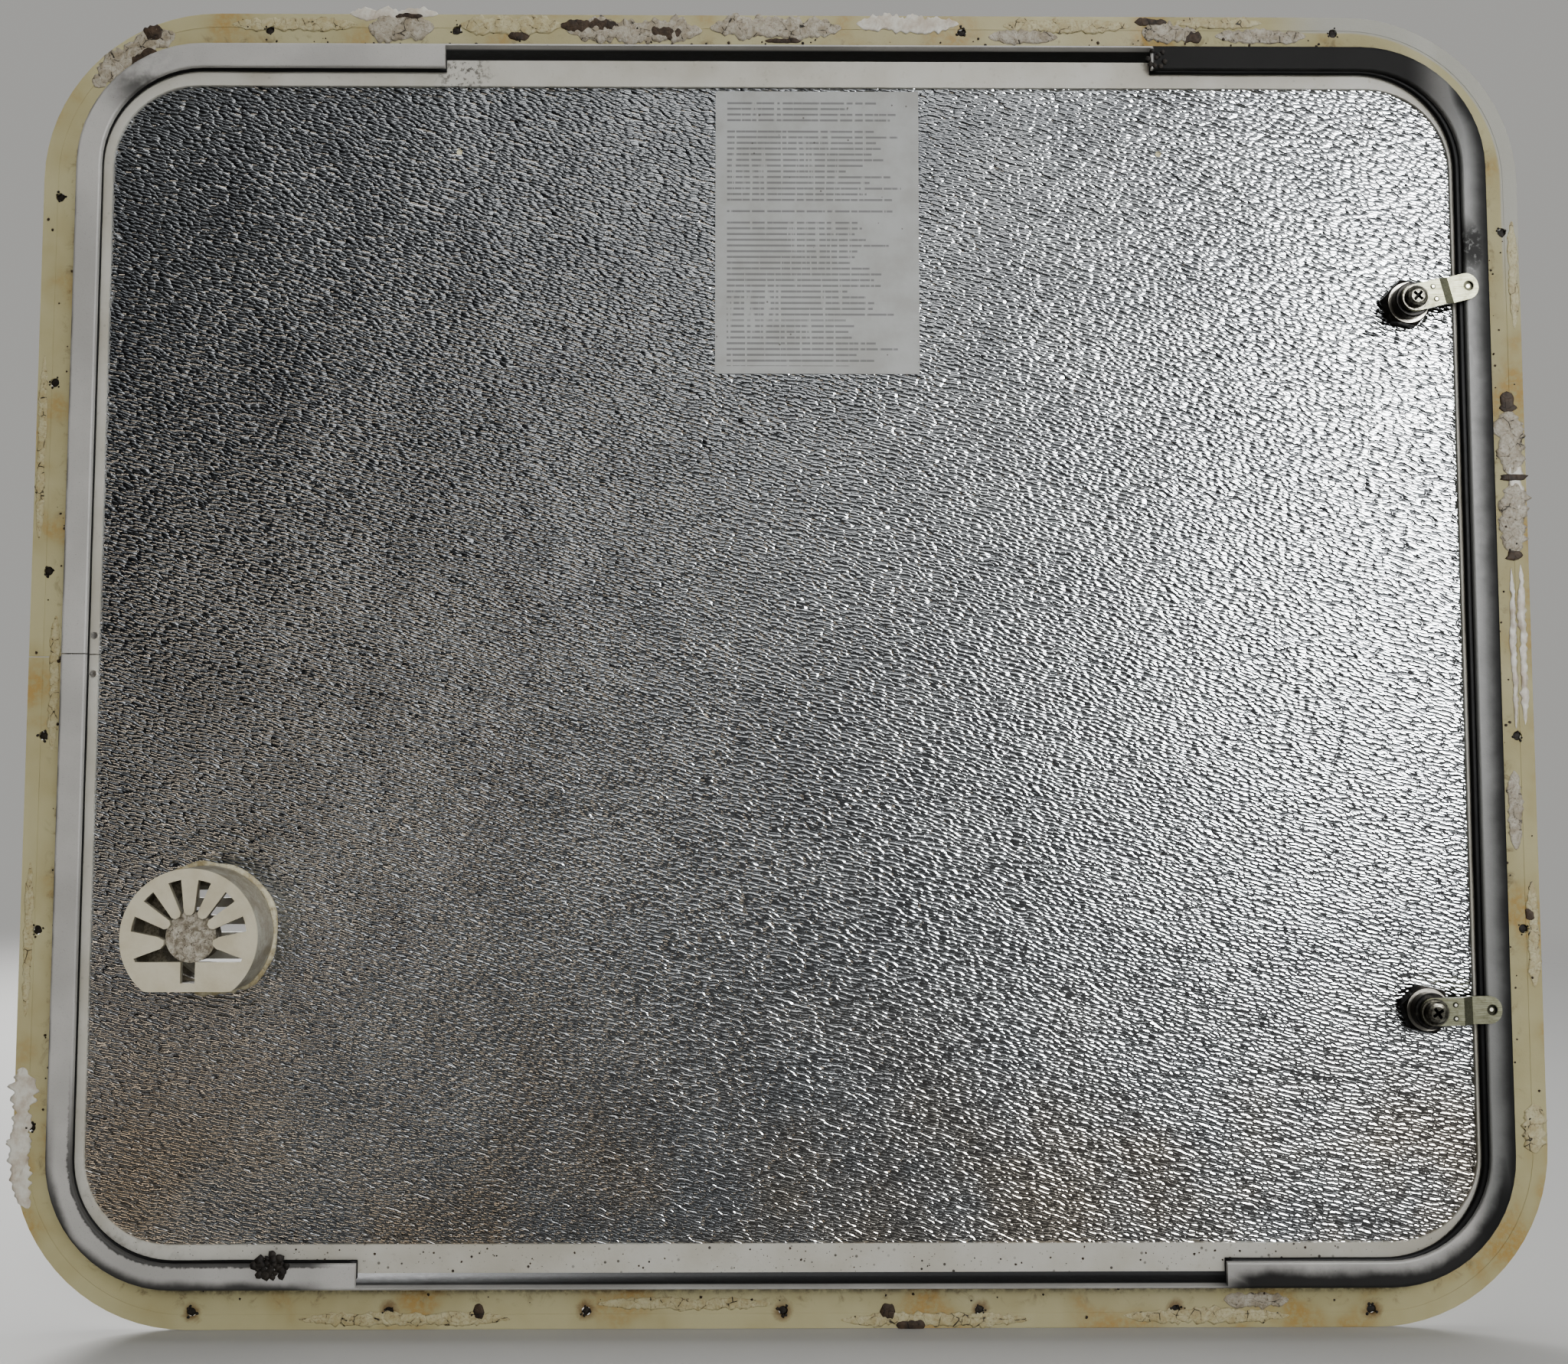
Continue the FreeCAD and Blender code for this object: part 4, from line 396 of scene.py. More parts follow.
def nut_steel():
    """Dark lock nut with a painted highlight ring round its hole."""
    p = Paint("nut_steel", roughness=0.35, metallic=1.0)
    near = p.either(*[p.spot(axis.x, axis.z, 10.6 * MM, 0.3 * MM) for axis in (UPPER_LATCH, LOWER_LATCH)])
    # Painted highlight: a bright ring on the nut's top face round its hole.
    painted_highlight = p.both(near, p.rise(p.y, UPPER_LATCH.y + 2.5 * MM, UPPER_LATCH.y + 2.7 * MM))
    cloud = p.noise(2.5 * MM, 5, 0.7)
    dark = p.mix(p.rise(cloud, 0.35, 0.65), tone(52, 50, 47), tone(30, 29, 27))
    p.colour(p.mix(p.both(painted_highlight, p.rise(cloud, 0.2, 0.45)), dark, tone(196, 192, 182)))
    p.roughen(cloud, 0.25, 0.5)
    p.bump((cloud, 0.08 * MM))
    return p.material


def along_cam(axis, tilt, reach, spread):
    """A point of a cam at rest, so far from its latch axis towards the tip and so far below its middle line."""
    turn = math.radians(tilt)
    x = axis.x - reach * math.cos(turn) - spread * math.sin(turn)
    z = axis.z + reach * math.sin(turn) - spread * math.cos(turn)
    return x, z


def cam_zinc():
    """Dull yellowish zinc plate, with painted shade in its pressed dimple and round its two dots, and a painted
    highlight at the middle of each.
    """
    p = Paint("cam_zinc", roughness=0.4, metallic=1.0)
    lines = p.noise(1.0, 3, 0.6, where=p.stretched(9 * MM, 0.25 * MM, 0.3 * MM))
    cloud = p.noise(5 * MM, 5, 0.65)
    base = p.mix(p.rise(lines, 0.3, 0.7), tone(150, 151, 132), tone(112, 112, 92))
    base = p.mix(p.times(p.rise(cloud, 0.45, 0.7), 0.45), base, tone(78, 76, 60))
    # Painted shade: dark rings round the dimple and the two dots; painted highlight: a bright spot at the middle of
    # each.
    painted_shade_rings, painted_highlight = [], []
    for axis, tilt in ((UPPER_LATCH, UPPER_TILT), (LOWER_LATCH, LOWER_TILT)):
        dimple = along_cam(axis, tilt, 31 * MM, 0)
        outside = p.rise(p.minus(1.0, p.spot(*dimple, 0.9 * MM, 0.4 * MM)), 0.3, 0.7)
        painted_shade_rings.append(p.both(p.spot(*dimple, 2.5 * MM, 0.5 * MM), outside))
        painted_highlight.append(p.spot(*dimple, 0.7 * MM, 0.4 * MM))
        for side in (-1, 1):
            dot = along_cam(axis, tilt, 10.6 * MM, side * 3.4 * MM)
            painted_shade_rings.append(p.spot(*dot, 1.3 * MM, 0.3 * MM))
            painted_highlight.append(p.spot(*dot, 0.6 * MM, 0.3 * MM))
    base = p.mix(p.times(p.either(*painted_shade_rings), 0.85), base, tone(30, 29, 24))
    p.colour(p.mix(p.either(*painted_highlight), base, tone(226, 224, 210)))
    p.roughen(p.times(p.plus(lines, cloud), 0.5), 0.28, 0.5)
    p.bump((lines, 0.03 * MM), (cloud, 0.06 * MM))
    return p.material


def screw_steel():
    """Dark plated screw, with painted shade in its recess."""
    p = Paint("screw_steel", roughness=0.3, metallic=1.0)
    cloud = p.noise(1.5 * MM, 5, 0.65)
    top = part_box("upper_cam_screw")[1].y
    base = p.mix(p.rise(cloud, 0.35, 0.65), tone(122, 120, 110), tone(70, 68, 62))
    recess = p.either(*[p.spot(axis.x, axis.z, 3.1 * MM, 0.2 * MM) for axis in (UPPER_LATCH, LOWER_LATCH)])
    # Painted shade: near black in the cross recess of each screw head.
    deep = p.both(p.rise(p.y, top - 0.1 * MM, top - 0.3 * MM), recess)
    p.colour(p.mix(deep, base, tone(12, 12, 11)))
    p.roughen(cloud, 0.2, 0.42)
    p.bump((cloud, 0.06 * MM))
    return p.material


def lock_zinc():
    """Blackened zinc lock body."""
    p = Paint("lock_zinc", roughness=0.4, metallic=0.6)
    cloud = p.noise(2 * MM, 5, 0.7)
    p.colour(p.mix(p.rise(cloud, 0.4, 0.75), tone(26, 25, 24), tone(64, 61, 56)))
    p.roughen(cloud, 0.28, 0.55)
    p.bump((cloud, 0.07 * MM))
    return p.material


def seal_rubber():
    """Black extruded rubber, with a soft sheen and a little grey dust."""
    p = Paint("seal_rubber", roughness=0.6)
    dust = p.both(p.rise(p.noise(7 * MM, 5, 0.7), 0.5, 0.75), p.rise(p.noise(0.9 * MM, 3, 0.7), 0.45, 0.65))
    p.shader.inputs["Specular IOR Level"].default_value = 0.25
    p.colour(p.mix(p.times(dust, 0.25), tone(10, 10, 10), tone(60, 58, 54)))
    p.roughen(dust, 0.5, 0.85)
    p.bump((p.noise(1.6 * MM, 4, 0.6), 0.06 * MM), (p.noise(18 * MM, 2), 0.5 * MM))
    return p.material


def vent_plastic():
    """Aged white plastic: clean and smooth on the face, dusty and scratched down the side."""
    p = Paint("vent_plastic", roughness=0.45)
    broad = p.noise(14 * MM, 5, 0.6)
    fine = p.noise(1.4 * MM, 5, 0.7)
    face = p.mix(p.rise(broad, 0.3, 0.7), tone(196, 190, 170), tone(182, 174, 152))
    side = p.mix(p.rise(broad, 0.3, 0.65), tone(166, 162, 148), tone(122, 114, 96))
    side = p.mix(p.times(p.rise(fine, 0.5, 0.68), 0.5), side, tone(96, 88, 74))
    top = p.rise(p.y, VENT_HIGH.y - 1.2 * MM, VENT_HIGH.y - 0.3 * MM)
    body = p.mix(top, side, face)
    bore = p.spot(VENT_X, VENT_Z, VENT_RADIUS - 2.6 * MM, 0.4 * MM)
    inner = p.both(p.rise(p.y, VENT_HIGH.y - 3.4 * MM, VENT_HIGH.y - 4.6 * MM), bore)
    dusty = p.mix(p.rise(fine, 0.35, 0.65), tone(150, 144, 128), tone(98, 90, 74))
    body = p.mix(inner, body, dusty)
    lines = p.noise(1.0, 4, 0.7, where=p.stretched(1.1 * MM, 8 * MM, 14 * MM, 24))
    scratched = p.both(p.rise(lines, 0.66, 0.72), p.rise(broad, 0.5, 0.6), p.rise(p.y, 18 * MM, 22 * MM))
    body = p.mix(p.times(scratched, 0.6), body, tone(44, 40, 34))
    weathered = p.mix(p.rise(broad, 0.35, 0.7), tone(214, 211, 200), tone(198, 193, 178))
    p.colour(p.mix(p.rise(p.y, 0.2 * MM, -0.6 * MM), body, weathered))
    p.roughen(fine, 0.34, 0.6)
    p.bump((broad, 0.25 * MM), (fine, 0.06 * MM))
    return p.material


def hub_dust():
    """The plug behind the vent's spokes, under a layer of grey dust and cobweb."""
    p = Paint("hub_dust", roughness=0.85)
    fine = p.noise(1.3 * MM, 6, 0.75, warp=0.8)
    clump = p.noise(4 * MM, 5, 0.7, warp=0.5)
    base = p.mix(p.rise(clump, 0.35, 0.65), tone(186, 180, 166), tone(120, 112, 96))
    p.colour(p.mix(p.rise(fine, 0.52, 0.66), base, tone(70, 62, 50)))
    p.roughen(fine, 0.7, 0.95)
    p.bump((clump, 0.6 * MM), (fine, 0.3 * MM))
    return p.material


def sealant():
    """Old rubbery sealant, gone yellow and grey."""
    p = Paint("sealant", roughness=0.55)
    broad = p.noise(6 * MM, 5, 0.65)
    fine = p.noise(1.2 * MM, 4, 0.7)
    base = p.mix(p.rise(broad, 0.35, 0.65), tone(190, 184, 160), tone(150, 138, 106))
    p.colour(p.mix(p.times(p.rise(fine, 0.52, 0.7), 0.6), base, tone(84, 74, 56)))
    p.roughen(fine, 0.4, 0.75)
    p.bump((broad, 0.5 * MM), (fine, 0.12 * MM))
    return p.material


def label_paper():
    """Matt white label with rows of plain grey bars in place of any wording."""
    p = Paint("label", roughness=0.5)
    low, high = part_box("blank_label")
    line = 3.1 * MM
    down = p.maths("DIVIDE", p.minus(high.z - 5 * MM, p.z), line)
    row = p.maths("FLOOR", down)
    within = p.maths("FRACT", down)
    chance = p.nodes.new("ShaderNodeTexWhiteNoise")
    chance.noise_dimensions = "1D"
    p.put(chance.inputs["W"], row)
    draw = chance.outputs["Value"]
    left = p.minus(high.x - 6 * MM, p.x)
    length = p.times(p.plus(0.62, p.times(draw, 0.36)), high.x - low.x - 12 * MM)
    reach = p.both(p.rise(left, 0.0, 0.3 * MM), p.rise(p.minus(length, left), 0.0, 0.3 * MM))
    shown = p.both(p.rise(draw, 0.10, 0.11), p.rise(down, 0.0, 0.02), p.rise(p.z, low.z + 4 * MM, low.z + 4.2 * MM))
    bar = p.both(p.between(within, 0.30, 0.66, 0.06), reach, shown)
    breaks = p.rise(p.noise(1.0, 2, 0.6, where=p.stretched(2.6 * MM, 1.0, 40 * MM)), 0.36, 0.46)
    aged = p.noise(18 * MM, 5, 0.6)
    paper = p.mix(p.rise(aged, 0.3, 0.7), tone(166, 167, 165), tone(154, 154, 150))
    specks = p.rise(p.strewn(9 * MM), 0.07, 0.04)
    paper = p.mix(p.times(p.both(bar, breaks), 0.62), paper, tone(74, 74, 76))
    p.colour(p.mix(p.times(specks, 0.7), paper, tone(60, 54, 46)))
    p.roughen(aged, 0.4, 0.6)
    p.bump((p.noise(4 * MM, 4, 0.6), 0.10 * MM), (p.noise(0.5 * MM, 2, 0.6), 0.01 * MM))
    return p.material


def foam():
    """Rigid yellowish foam with small cells."""
    p = Paint("foam", roughness=0.9)
    cell = p.strewn(0.9 * MM)
    p.colour(p.mix(p.rise(cell, 0.2, 0.6), tone(206, 196, 160), tone(226, 220, 190)))
    p.roughen(cell, 0.85, 0.95)
    p.bump((cell, 0.2 * MM))
    return p.material


def outer_skin():
    """Smooth white sheet with a slight ripple and faint grime."""
    p = Paint("outer_skin", roughness=0.3)
    sag = p.noise(90 * MM, 2)
    streak = p.noise(1.0, 5, 0.6, where=p.stretched(16 * MM, 40 * MM, 150 * MM))
    peel = p.noise(1.1 * MM, 2, 0.5)
    base = p.mix(p.rise(sag, 0.3, 0.7), tone(226, 225, 219), tone(216, 214, 206))
    p.colour(p.mix(p.times(p.rise(streak, 0.52, 0.74), 0.35), base, tone(176, 170, 156)))
    p.roughen(streak, 0.24, 0.45)
    p.bump((sag, 1.2 * MM), (peel, 0.015 * MM))
    return p.material


def putty(name, light, dark, deep, roughness=0.6):
    """Old bedding putty: cracked, dusty and stained."""
    p = Paint(name, roughness=roughness)
    broad = p.noise(7 * MM, 6, 0.7, warp=0.4)
    fine = p.noise(1.3 * MM, 5, 0.7)
    crack = p.rise(p.strewn(6 * MM, "DISTANCE_TO_EDGE"), 0.05, 0.01)
    base = p.mix(p.rise(broad, 0.35, 0.65), light, dark)
    base = p.mix(p.times(p.rise(fine, 0.5, 0.7), 0.55), base, deep)
    p.colour(p.mix(p.both(crack, p.rise(broad, 0.5, 0.6)), base, tone(30, 24, 18)))
    p.roughen(fine, roughness - 0.15, roughness + 0.2)
    p.bump((broad, 0.5 * MM), (fine, 0.15 * MM), (p.minus(1.0, crack), 0.12 * MM))
    return p.material


def tape():
    """Thin white tape, wrinkled and grubby."""
    p = Paint("tape", roughness=0.5)
    fold = p.noise(1.0, 5, 0.65, where=p.stretched(3 * MM, 8 * MM, 12 * MM, 20))
    cloud = p.noise(9 * MM, 5, 0.65)
    base = p.mix(p.rise(cloud, 0.35, 0.7), tone(206, 204, 194), tone(178, 166, 150))
    p.colour(p.mix(p.times(p.rise(fold, 0.55, 0.75), 0.5), base, tone(132, 118, 98)))
    p.roughen(fold, 0.35, 0.65)
    p.bump((fold, 0.35 * MM), (cloud, 0.25 * MM))
    return p.material


FRAME_PAINT = frame_paint()
SEAL = seal_rubber()
SEALANT = sealant()
VENT = vent_plastic()
RIVET = brushed("rivet_metal", tone(214, 212, 208), tone(184, 182, 178), 0.28, "x")
LOOKS = {
    "frame_paint": FRAME_PAINT,
    "bare_aluminium": brushed("bare_aluminium", tone(196, 194, 190), tone(164, 162, 158), 0.35, "z"),
    "rivet_metal": RIVET,
    "seal_rubber": SEAL,
    "hinge_metal": brushed(
        "hinge_metal", tone(206, 205, 200), tone(178, 176, 170), 0.42, "z", metallic=0.7, tarnish=0.25),
    "pin_steel": brushed("pin_steel", tone(170, 168, 165), tone(132, 130, 126), 0.3, "z"),
    "outer_skin": outer_skin(),
    "foam": foam(),
    "embossed_skin": embossed_skin(),
    "trim_paint": trim_paint(),
    "label": label_paper(),
    "vent_plastic": VENT,
    "sealant": SEALANT,
    "screw_steel": screw_steel(),
    "lock_zinc": lock_zinc(),
    "nut_steel": nut_steel(),
    "cam_zinc": cam_zinc(),
}
for part in frame["record"]["subparts"]:
    data = NODES[part["node"]].data
    data.materials.clear()
    data.materials.append(LOOKS[part["material_slot"]])
NODES["vent_hub"].data.materials.clear()
NODES["vent_hub"].data.materials.append(hub_dust())


# ---------------------------------------------------------------- shapes

class Ring:
    """A rounded rectangle round the origin, walked by length from the middle of its +X side, upwards."""

    def __init__(self, half_width, half_height, corner):
        self.corner = corner
        self.across = half_width - corner
        self.up = half_height - corner
        self.arc = math.pi * corner / 2
        self.total = 4 * (self.across + self.up + self.arc)

    def at(self, length, outwards=0.0):
        """A point's x and z, moved outwards, square to the ring."""
        left = (length + self.up) % self.total
        centres = ((1, 1), (-1, 1), (-1, -1), (1, -1))
        for side, (sign_x, sign_z) in enumerate(centres):
            run = 2 * (self.up if side % 2 == 0 else self.across)
            start = math.radians(90 * side)
            centre_x, centre_z = sign_x * self.across, sign_z * self.up
            if left <= run:
                angle = start
                back = run - left
                centre_x += back * math.sin(angle)
                centre_z -= back * math.cos(angle)
                break
            left -= run
            if left <= self.arc:
                angle = start + left / self.corner
                break
            left -= self.arc
        reach = self.corner + outwards
        return centre_x + reach * math.cos(angle), centre_z + reach * math.sin(angle)

    def top(self, x):
        """The length at which the walk passes this x on the top side; minus that is the same x at the bottom."""
        return self.up + self.arc + self.across - x


def add_piece(name, body, material, vertices, faces):
    mesh = bpy.data.meshes.new(name)
    mesh.from_pydata(vertices, [], faces)
    shape = bmesh.new()
    shape.from_mesh(mesh)
    bmesh.ops.recalc_face_normals(shape, faces=shape.faces)
    shape.to_mesh(mesh)
    shape.free()
    for face in mesh.polygons:
        face.use_smooth = True
    mesh.materials.append(material)
    piece = bpy.data.objects.new(name, mesh)
    bpy.context.scene.collection.objects.link(piece)
    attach(piece, body)
    return piece


def skin_over(sections, closed, vertices, faces):
    """Joins closed sections, each a list of points, into one solid skin."""
    first = len(vertices)
    count = len(sections[0])
    for section in sections:
        vertices.extend(section)
    for i in range(len(sections) if closed else len(sections) - 1):
        here = first + i * count
        there = first + (i + 1) % len(sections) * count
        for j in range(count):
            k = (j + 1) % count
            faces.append((here + j, here + k, there + k, there + j))
    if not closed:
        faces.append(tuple(range(first, first + count)))
        faces.append(tuple(reversed(range(len(vertices) - count, len(vertices)))))


def wander(value, seed, size):
    """A smooth random number from about -1 to 1 that changes over this size."""
    return noise.noise(Vector((value / size, seed * 7.31, seed * 1.7))) * 1.6


FLANGE = Ring(HALF_WIDTH, HALF_HEIGHT, FLANGE_CORNER)
LIP_EDGE = Ring(*[size - FLANGE_WIDTH - LIP_WIDTH for size in (HALF_WIDTH, HALF_HEIGHT, FLANGE_CORNER)])


def make_seal(name, node, start, end, reach_side, reach_end):
    """A rubber strip under the lip, from one length to another, with a round free edge that swells and shrinks.

    It stands proud of the lip by reach_side at the sides and by reach_end at the top and bottom."""
    low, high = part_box(node)
    floor, roof = low.y + 0.02 * MM, high.y
    middle, half = (floor + roof) / 2, (roof - floor) / 2
    sections = []
    count = int(abs(end - start) / (4 * MM))
    for i in range(count + 1):
        length = start + (end - start) * i / count
        x = LIP_EDGE.at(length)[0]
        sideways = min(1.0, max(0.0, (abs(x) - LIP_EDGE.across) / LIP_EDGE.corner))
        reach = reach_end + (reach_side - reach_end) * sideways + wander(length, 3, 30 * MM) * 0.12 * MM
        section = []
        for offset, height in ((8 * MM, roof), (8 * MM, floor)):
            px, pz = LIP_EDGE.at(length, offset)
            section.append((px, height, pz))
        for step in range(9):
            angle = -math.pi / 2 + math.pi * step / 8
            px, pz = LIP_EDGE.at(length, -(reach - half + half * math.cos(angle)))
            section.append((px, middle + half * math.sin(angle), pz))
        sections.append(section)
    vertices, faces = [], []
    skin_over(sections, False, vertices, faces)
    piece = add_piece(name, "frame", SEAL, vertices, faces)
    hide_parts(node)


make_seal(
    "rubber_seal_hinge", "lip_seal_hinge_side",
    -LIP_EDGE.top(LOW_HINGE_END), LIP_EDGE.top(TOP_HINGE_END), 0.2 * MM, 1.2 * MM)
make_seal(
    "rubber_seal_latch", "lip_seal_latch_side",
    LIP_EDGE.top(TOP_LATCH_END), LIP_EDGE.total - LIP_EDGE.top(LOW_LATCH_END), 3.2 * MM, 1.2 * MM)


def add_slab(start, end, outer, inner, thick, seed, vertices, faces, ragged):
    """A lumpy patch on the flange's back, between two insets from the flange's outer edge, in millimetres."""
    count = max(10, int(abs(end - start) / 0.9))
    across = 7
    middle, half = (outer + inner) / 2, (inner - outer) / 2
    sections = []
    for i in range(count + 1):
        share = i / count
        length = (start + (end - start) * share) * MM
        full = min(1.0, 5 * share, 5 * (1 - share)) ** 0.6 * 0.97 + 0.03

        def reach(broad_seed, broad_size, fine_seed, fine_size):
            broad = 0.28 * wander(length, seed + broad_seed, broad_size * MM)
            return half * full * (1 + ragged * (broad + 0.30 * wander(length, seed + fine_seed, fine_size * MM)))

        half_in, half_out = reach(0, 9, 3, 2.6), reach(5, 7, 8, 2.2)

        def spot(t):
            return FLANGE.at(length, -(middle - half_out + (half_out + half_in) * t) * MM)

        section = []
        for j in range(across + 1):
            t = j / across
            x, z = spot(t)
            swell = math.sin(math.pi * min(max(t, 0.04), 0.96)) ** 0.5 * full
            lump = 0.65 + 0.55 * noise.noise(Vector((x * 260, seed * 3.0, z * 260)))
            section.append((x, (0.04 + thick * swell * lump) * MM, z))
        for t in (1, 0):
            x, z = spot(t)
            section.append((x, 0.01 * MM, z))
        sections.append(section)
    skin_over(sections, False, vertices, faces)


def walk(side, place):
    """The length of the flange's walk at this x or z on a side, or so far past the hinge side's top, in mm."""
    if side == "hinge":
        return place
    if side == "corner":
        return FLANGE.up / MM + place
    if side == "latch":
        return (FLANGE.up + 2 * FLANGE.arc + 2 * FLANGE.across + FLANGE.up) / MM - place
    top = FLANGE.top(place * MM) / MM
    return top if side == "top" else -top


def make_patches(name, material, patches, ragged=1.0):
    """One piece of slabs, each given by its side, two places along it, two insets and its thickness, in mm."""
    vertices, faces = [], []
    for seed, (side, start, end, outer, inner, thick) in enumerate(patches):
        add_slab(walk(side, start), walk(side, end), outer, inner, thick, seed + 1, vertices, faces, ragged)
    add_piece(name, "frame", material, vertices, faces)


CREAM_PUTTY = putty("putty_cream", tone(184, 178, 146), tone(166, 154, 116), tone(122, 104, 72))
GREY_PUTTY = putty("putty_grey", tone(180, 174, 160), tone(142, 132, 112), tone(78, 66, 52))
BROWN_PUTTY = putty("putty_brown", tone(78, 62, 46), tone(48, 38, 28), tone(24, 19, 15), 0.7)
BLACK_DIRT = putty("black_dirt", tone(52, 46, 39), tone(26, 22, 19), tone(14, 12, 10), 0.75)
TAPE = tape()

make_patches("putty_cream", CREAM_PUTTY, (
    ("top", 300, 232, 2.5, 9.5, 0.5), ("top", 176, 120, 1.0, 11.0, 0.7),
    ("top", -120, -190, 1.5, 9.0, 0.6), ("top", -214, -262, 0.5, 6.5, 0.8),
    ("hinge", 160, 60, 1.0, 5.5, 0.5), ("hinge", 20, -52, 11.0, 16.5, 0.5),
    ("hinge", -110, -190, 2.0, 6.5, 0.45), ("bottom", 250, 140, 2.0, 8.5, 0.5),
    ("bottom", 96, 6, 9.5, 15.5, 0.45), ("bottom", -30, -128, 1.0, 7.5, 0.6),
    ("bottom", -176, -262, 2.5, 9.5, 0.5), ("latch", -120, -176, 1.0, 7.0, 0.7),
    ("latch", -236, -262, 0.8, 12.0, 0.8), ("latch", 236, 176, 1.0, 6.0, 0.5),
))
make_patches("putty_grey", GREY_PUTTY, (
    ("corner", 60, 118, 1.5, 15.0, 0.9), ("top", 226, 190, 0.5, 14.0, 0.8),
    ("top", 118, 44, 2.0, 15.5, 0.9), ("top", 40, -32, 1.0, 13.0, 0.8),
    ("top", -112, -150, 8.0, 15.5, 0.7), ("top", -196, -226, 3.0, 15.0, 0.9),
    ("top", -236, -286, 7.0, 14.5, 0.6), ("latch", 132, 96, 1.0, 15.0, 1.0),
    ("latch", 94, 52, 1.0, 14.0, 0.9), ("latch", -62, -104, 8.0, 15.0, 0.6),
    ("bottom", -228, -262, 10.0, 18.0, 0.7),
))
make_patches("putty_brown", BROWN_PUTTY, (
    ("corner", 84, 104, 9.0, 19.0, 1.3), ("corner", 100, 112, -0.5, 8.0, 1.2),
    ("top", 212, 196, -0.8, 3.0, 0.9), ("top", 122, 88, 3.0, 9.0, 1.1),
    ("top", 74, 54, 6.0, 14.0, 1.1), ("top", 150, 138, 10.0, 14.0, 0.9),
    ("top", -192, -210, 1.0, 5.0, 1.0), ("top", -218, -229, 8.0, 15.0, 1.0),
    ("top", 10, -10, 13.0, 15.5, 0.8), ("latch", 142, 130, 5.0, 13.0, 0.9),
    ("latch", 97, 93, 1.0, 14.0, 1.0), ("latch", 56, 50, 4.0, 12.0, 0.9),
    ("latch", -134, -141, 2.0, 8.0, 0.9), ("bottom", -58, -74, -1.0, 5.0, 1.0),
    ("bottom", -50, -58, 4.0, 13.0, 0.8), ("bottom", 160, 154, 5.0, 12.0, 0.8),
))
make_patches("tape_scraps", TAPE, (
    ("top", 236, 188, -3.5, 3.0, 0.5), ("top", -40, -96, 0.0, 9.0, 0.45),
    ("latch", 110, 70, 2.0, 9.0, 0.5), ("latch", 48, -38, 2.5, 6.5, 1.2),
    ("latch", 46, -40, 8.0, 11.0, 1.0), ("hinge", -216, -262, -2.5, 10.0, 0.5),
    ("hinge", -240, -290, -1.0, 8.0, 0.6),
), 1.3)


def add_lump(x, y, z, size, seed, vertices, faces):
    """A small crumb: a sphere pushed about by noise and flattened."""
    first = len(vertices)
    rings, around = 4, 7
    for i in range(rings + 1):
        pitch = math.pi * i / rings
        for j in range(around):
            turn = 2 * math.pi * j / around
            spot = Vector((math.sin(pitch) * math.cos(turn), math.cos(pitch), math.sin(pitch) * math.sin(turn)))
            reach = size * (1 + 0.55 * noise.noise(spot * 1.7 + Vector((seed, seed * 0.37, 0))))
            vertices.append((x + spot.x * reach, y + spot.y * reach * 0.5, z + spot.z * reach))
    for i in range(rings):
        for j in range(around):
            k = (j + 1) % around
            here, there = first + i * around, first + (i + 1) * around
            faces.append((here + j, here + k, there + k, there + j))


# The wall screw holes, counted in pitches from the middle of each side.
SCREW_ROWS = (
    ("top", (-2.96, -1.97, -0.96, -0.11, 0.05, 0.76, 1.75, 2.75)),
    ("bottom", (-3, -2, -1, 0, 1, 2, 3)),
    ("hinge", (-2.43, -1.43, -0.43, 0.43, 1.43, 2.43)),
    ("latch", (-2.43, -1.43, -0.43, 0.57, 1.34, 2.26)),
)


def screw_spots():
    """The middle of every wall screw hole, as x and z."""
    side, rise = HALF_WIDTH - SCREW_LINE, HALF_HEIGHT - SCREW_LINE
    for row, steps in SCREW_ROWS:
        for step in steps:
            along = step * PITCH
            places = {"top": (along, rise), "bottom": (along, -rise), "hinge": (side, along), "latch": (-side, along)}
            yield places[row]


def add_blot(x, y, z, size, thick, seed, vertices, faces):
    """A ragged flat blot, thin at its edge."""
    first = len(vertices)
    around, steps = 18, 3
    vertices.append((x, y + thick, z))
    for i in range(1, steps + 1):
        for j in range(around):
            turn = 2 * math.pi * j / around
            ragged = 1 + 0.65 * noise.noise(Vector((math.cos(turn) * 1.6, math.sin(turn) * 1.6, seed * 3.7)))
            reach = size * i / steps * ragged
            height = y + thick * (1 - (i / steps) ** 2)
            vertices.append((x + reach * math.cos(turn), height, z + reach * math.sin(turn)))
    under = len(vertices)
    vertices.append((x, y, z))
    for j in range(around):
        k = (j + 1) % around
        faces.append((first, first + 1 + j, first + 1 + k))
        for i in range(steps - 1):
            here, there = first + 1 + i * around, first + 1 + (i + 1) * around
            faces.append((here + j, there + j, there + k, here + k))
        edge = first + 1 + (steps - 1) * around
        faces.append((under, edge + k, edge + j))


def make_screw_dirt():
    """Dirt left in and round the holes where the wall screws were."""
    vertices, faces = [], []
    for seed, (x, z) in enumerate(screw_spots()):
        add_blot(x, -1.2 * MM, z, 2.6 * MM, 0.5 * MM, seed, vertices, faces)
        for turn in range(4):
            angle = 1.9 * turn + seed
            reach = (2.7 + 0.5 * math.sin(seed * 2.3 + turn)) * MM
            size = (0.5 + 0.35 * math.sin(seed + 3 * turn) ** 2) * MM
            crumb_x, crumb_z = x + reach * math.cos(angle), z + reach * math.sin(angle)
            add_lump(crumb_x, 0.1 * MM, crumb_z, size, seed * 5 + turn, vertices, faces)
    add_piece("screw_dirt", "frame", BLACK_DIRT, vertices, faces)


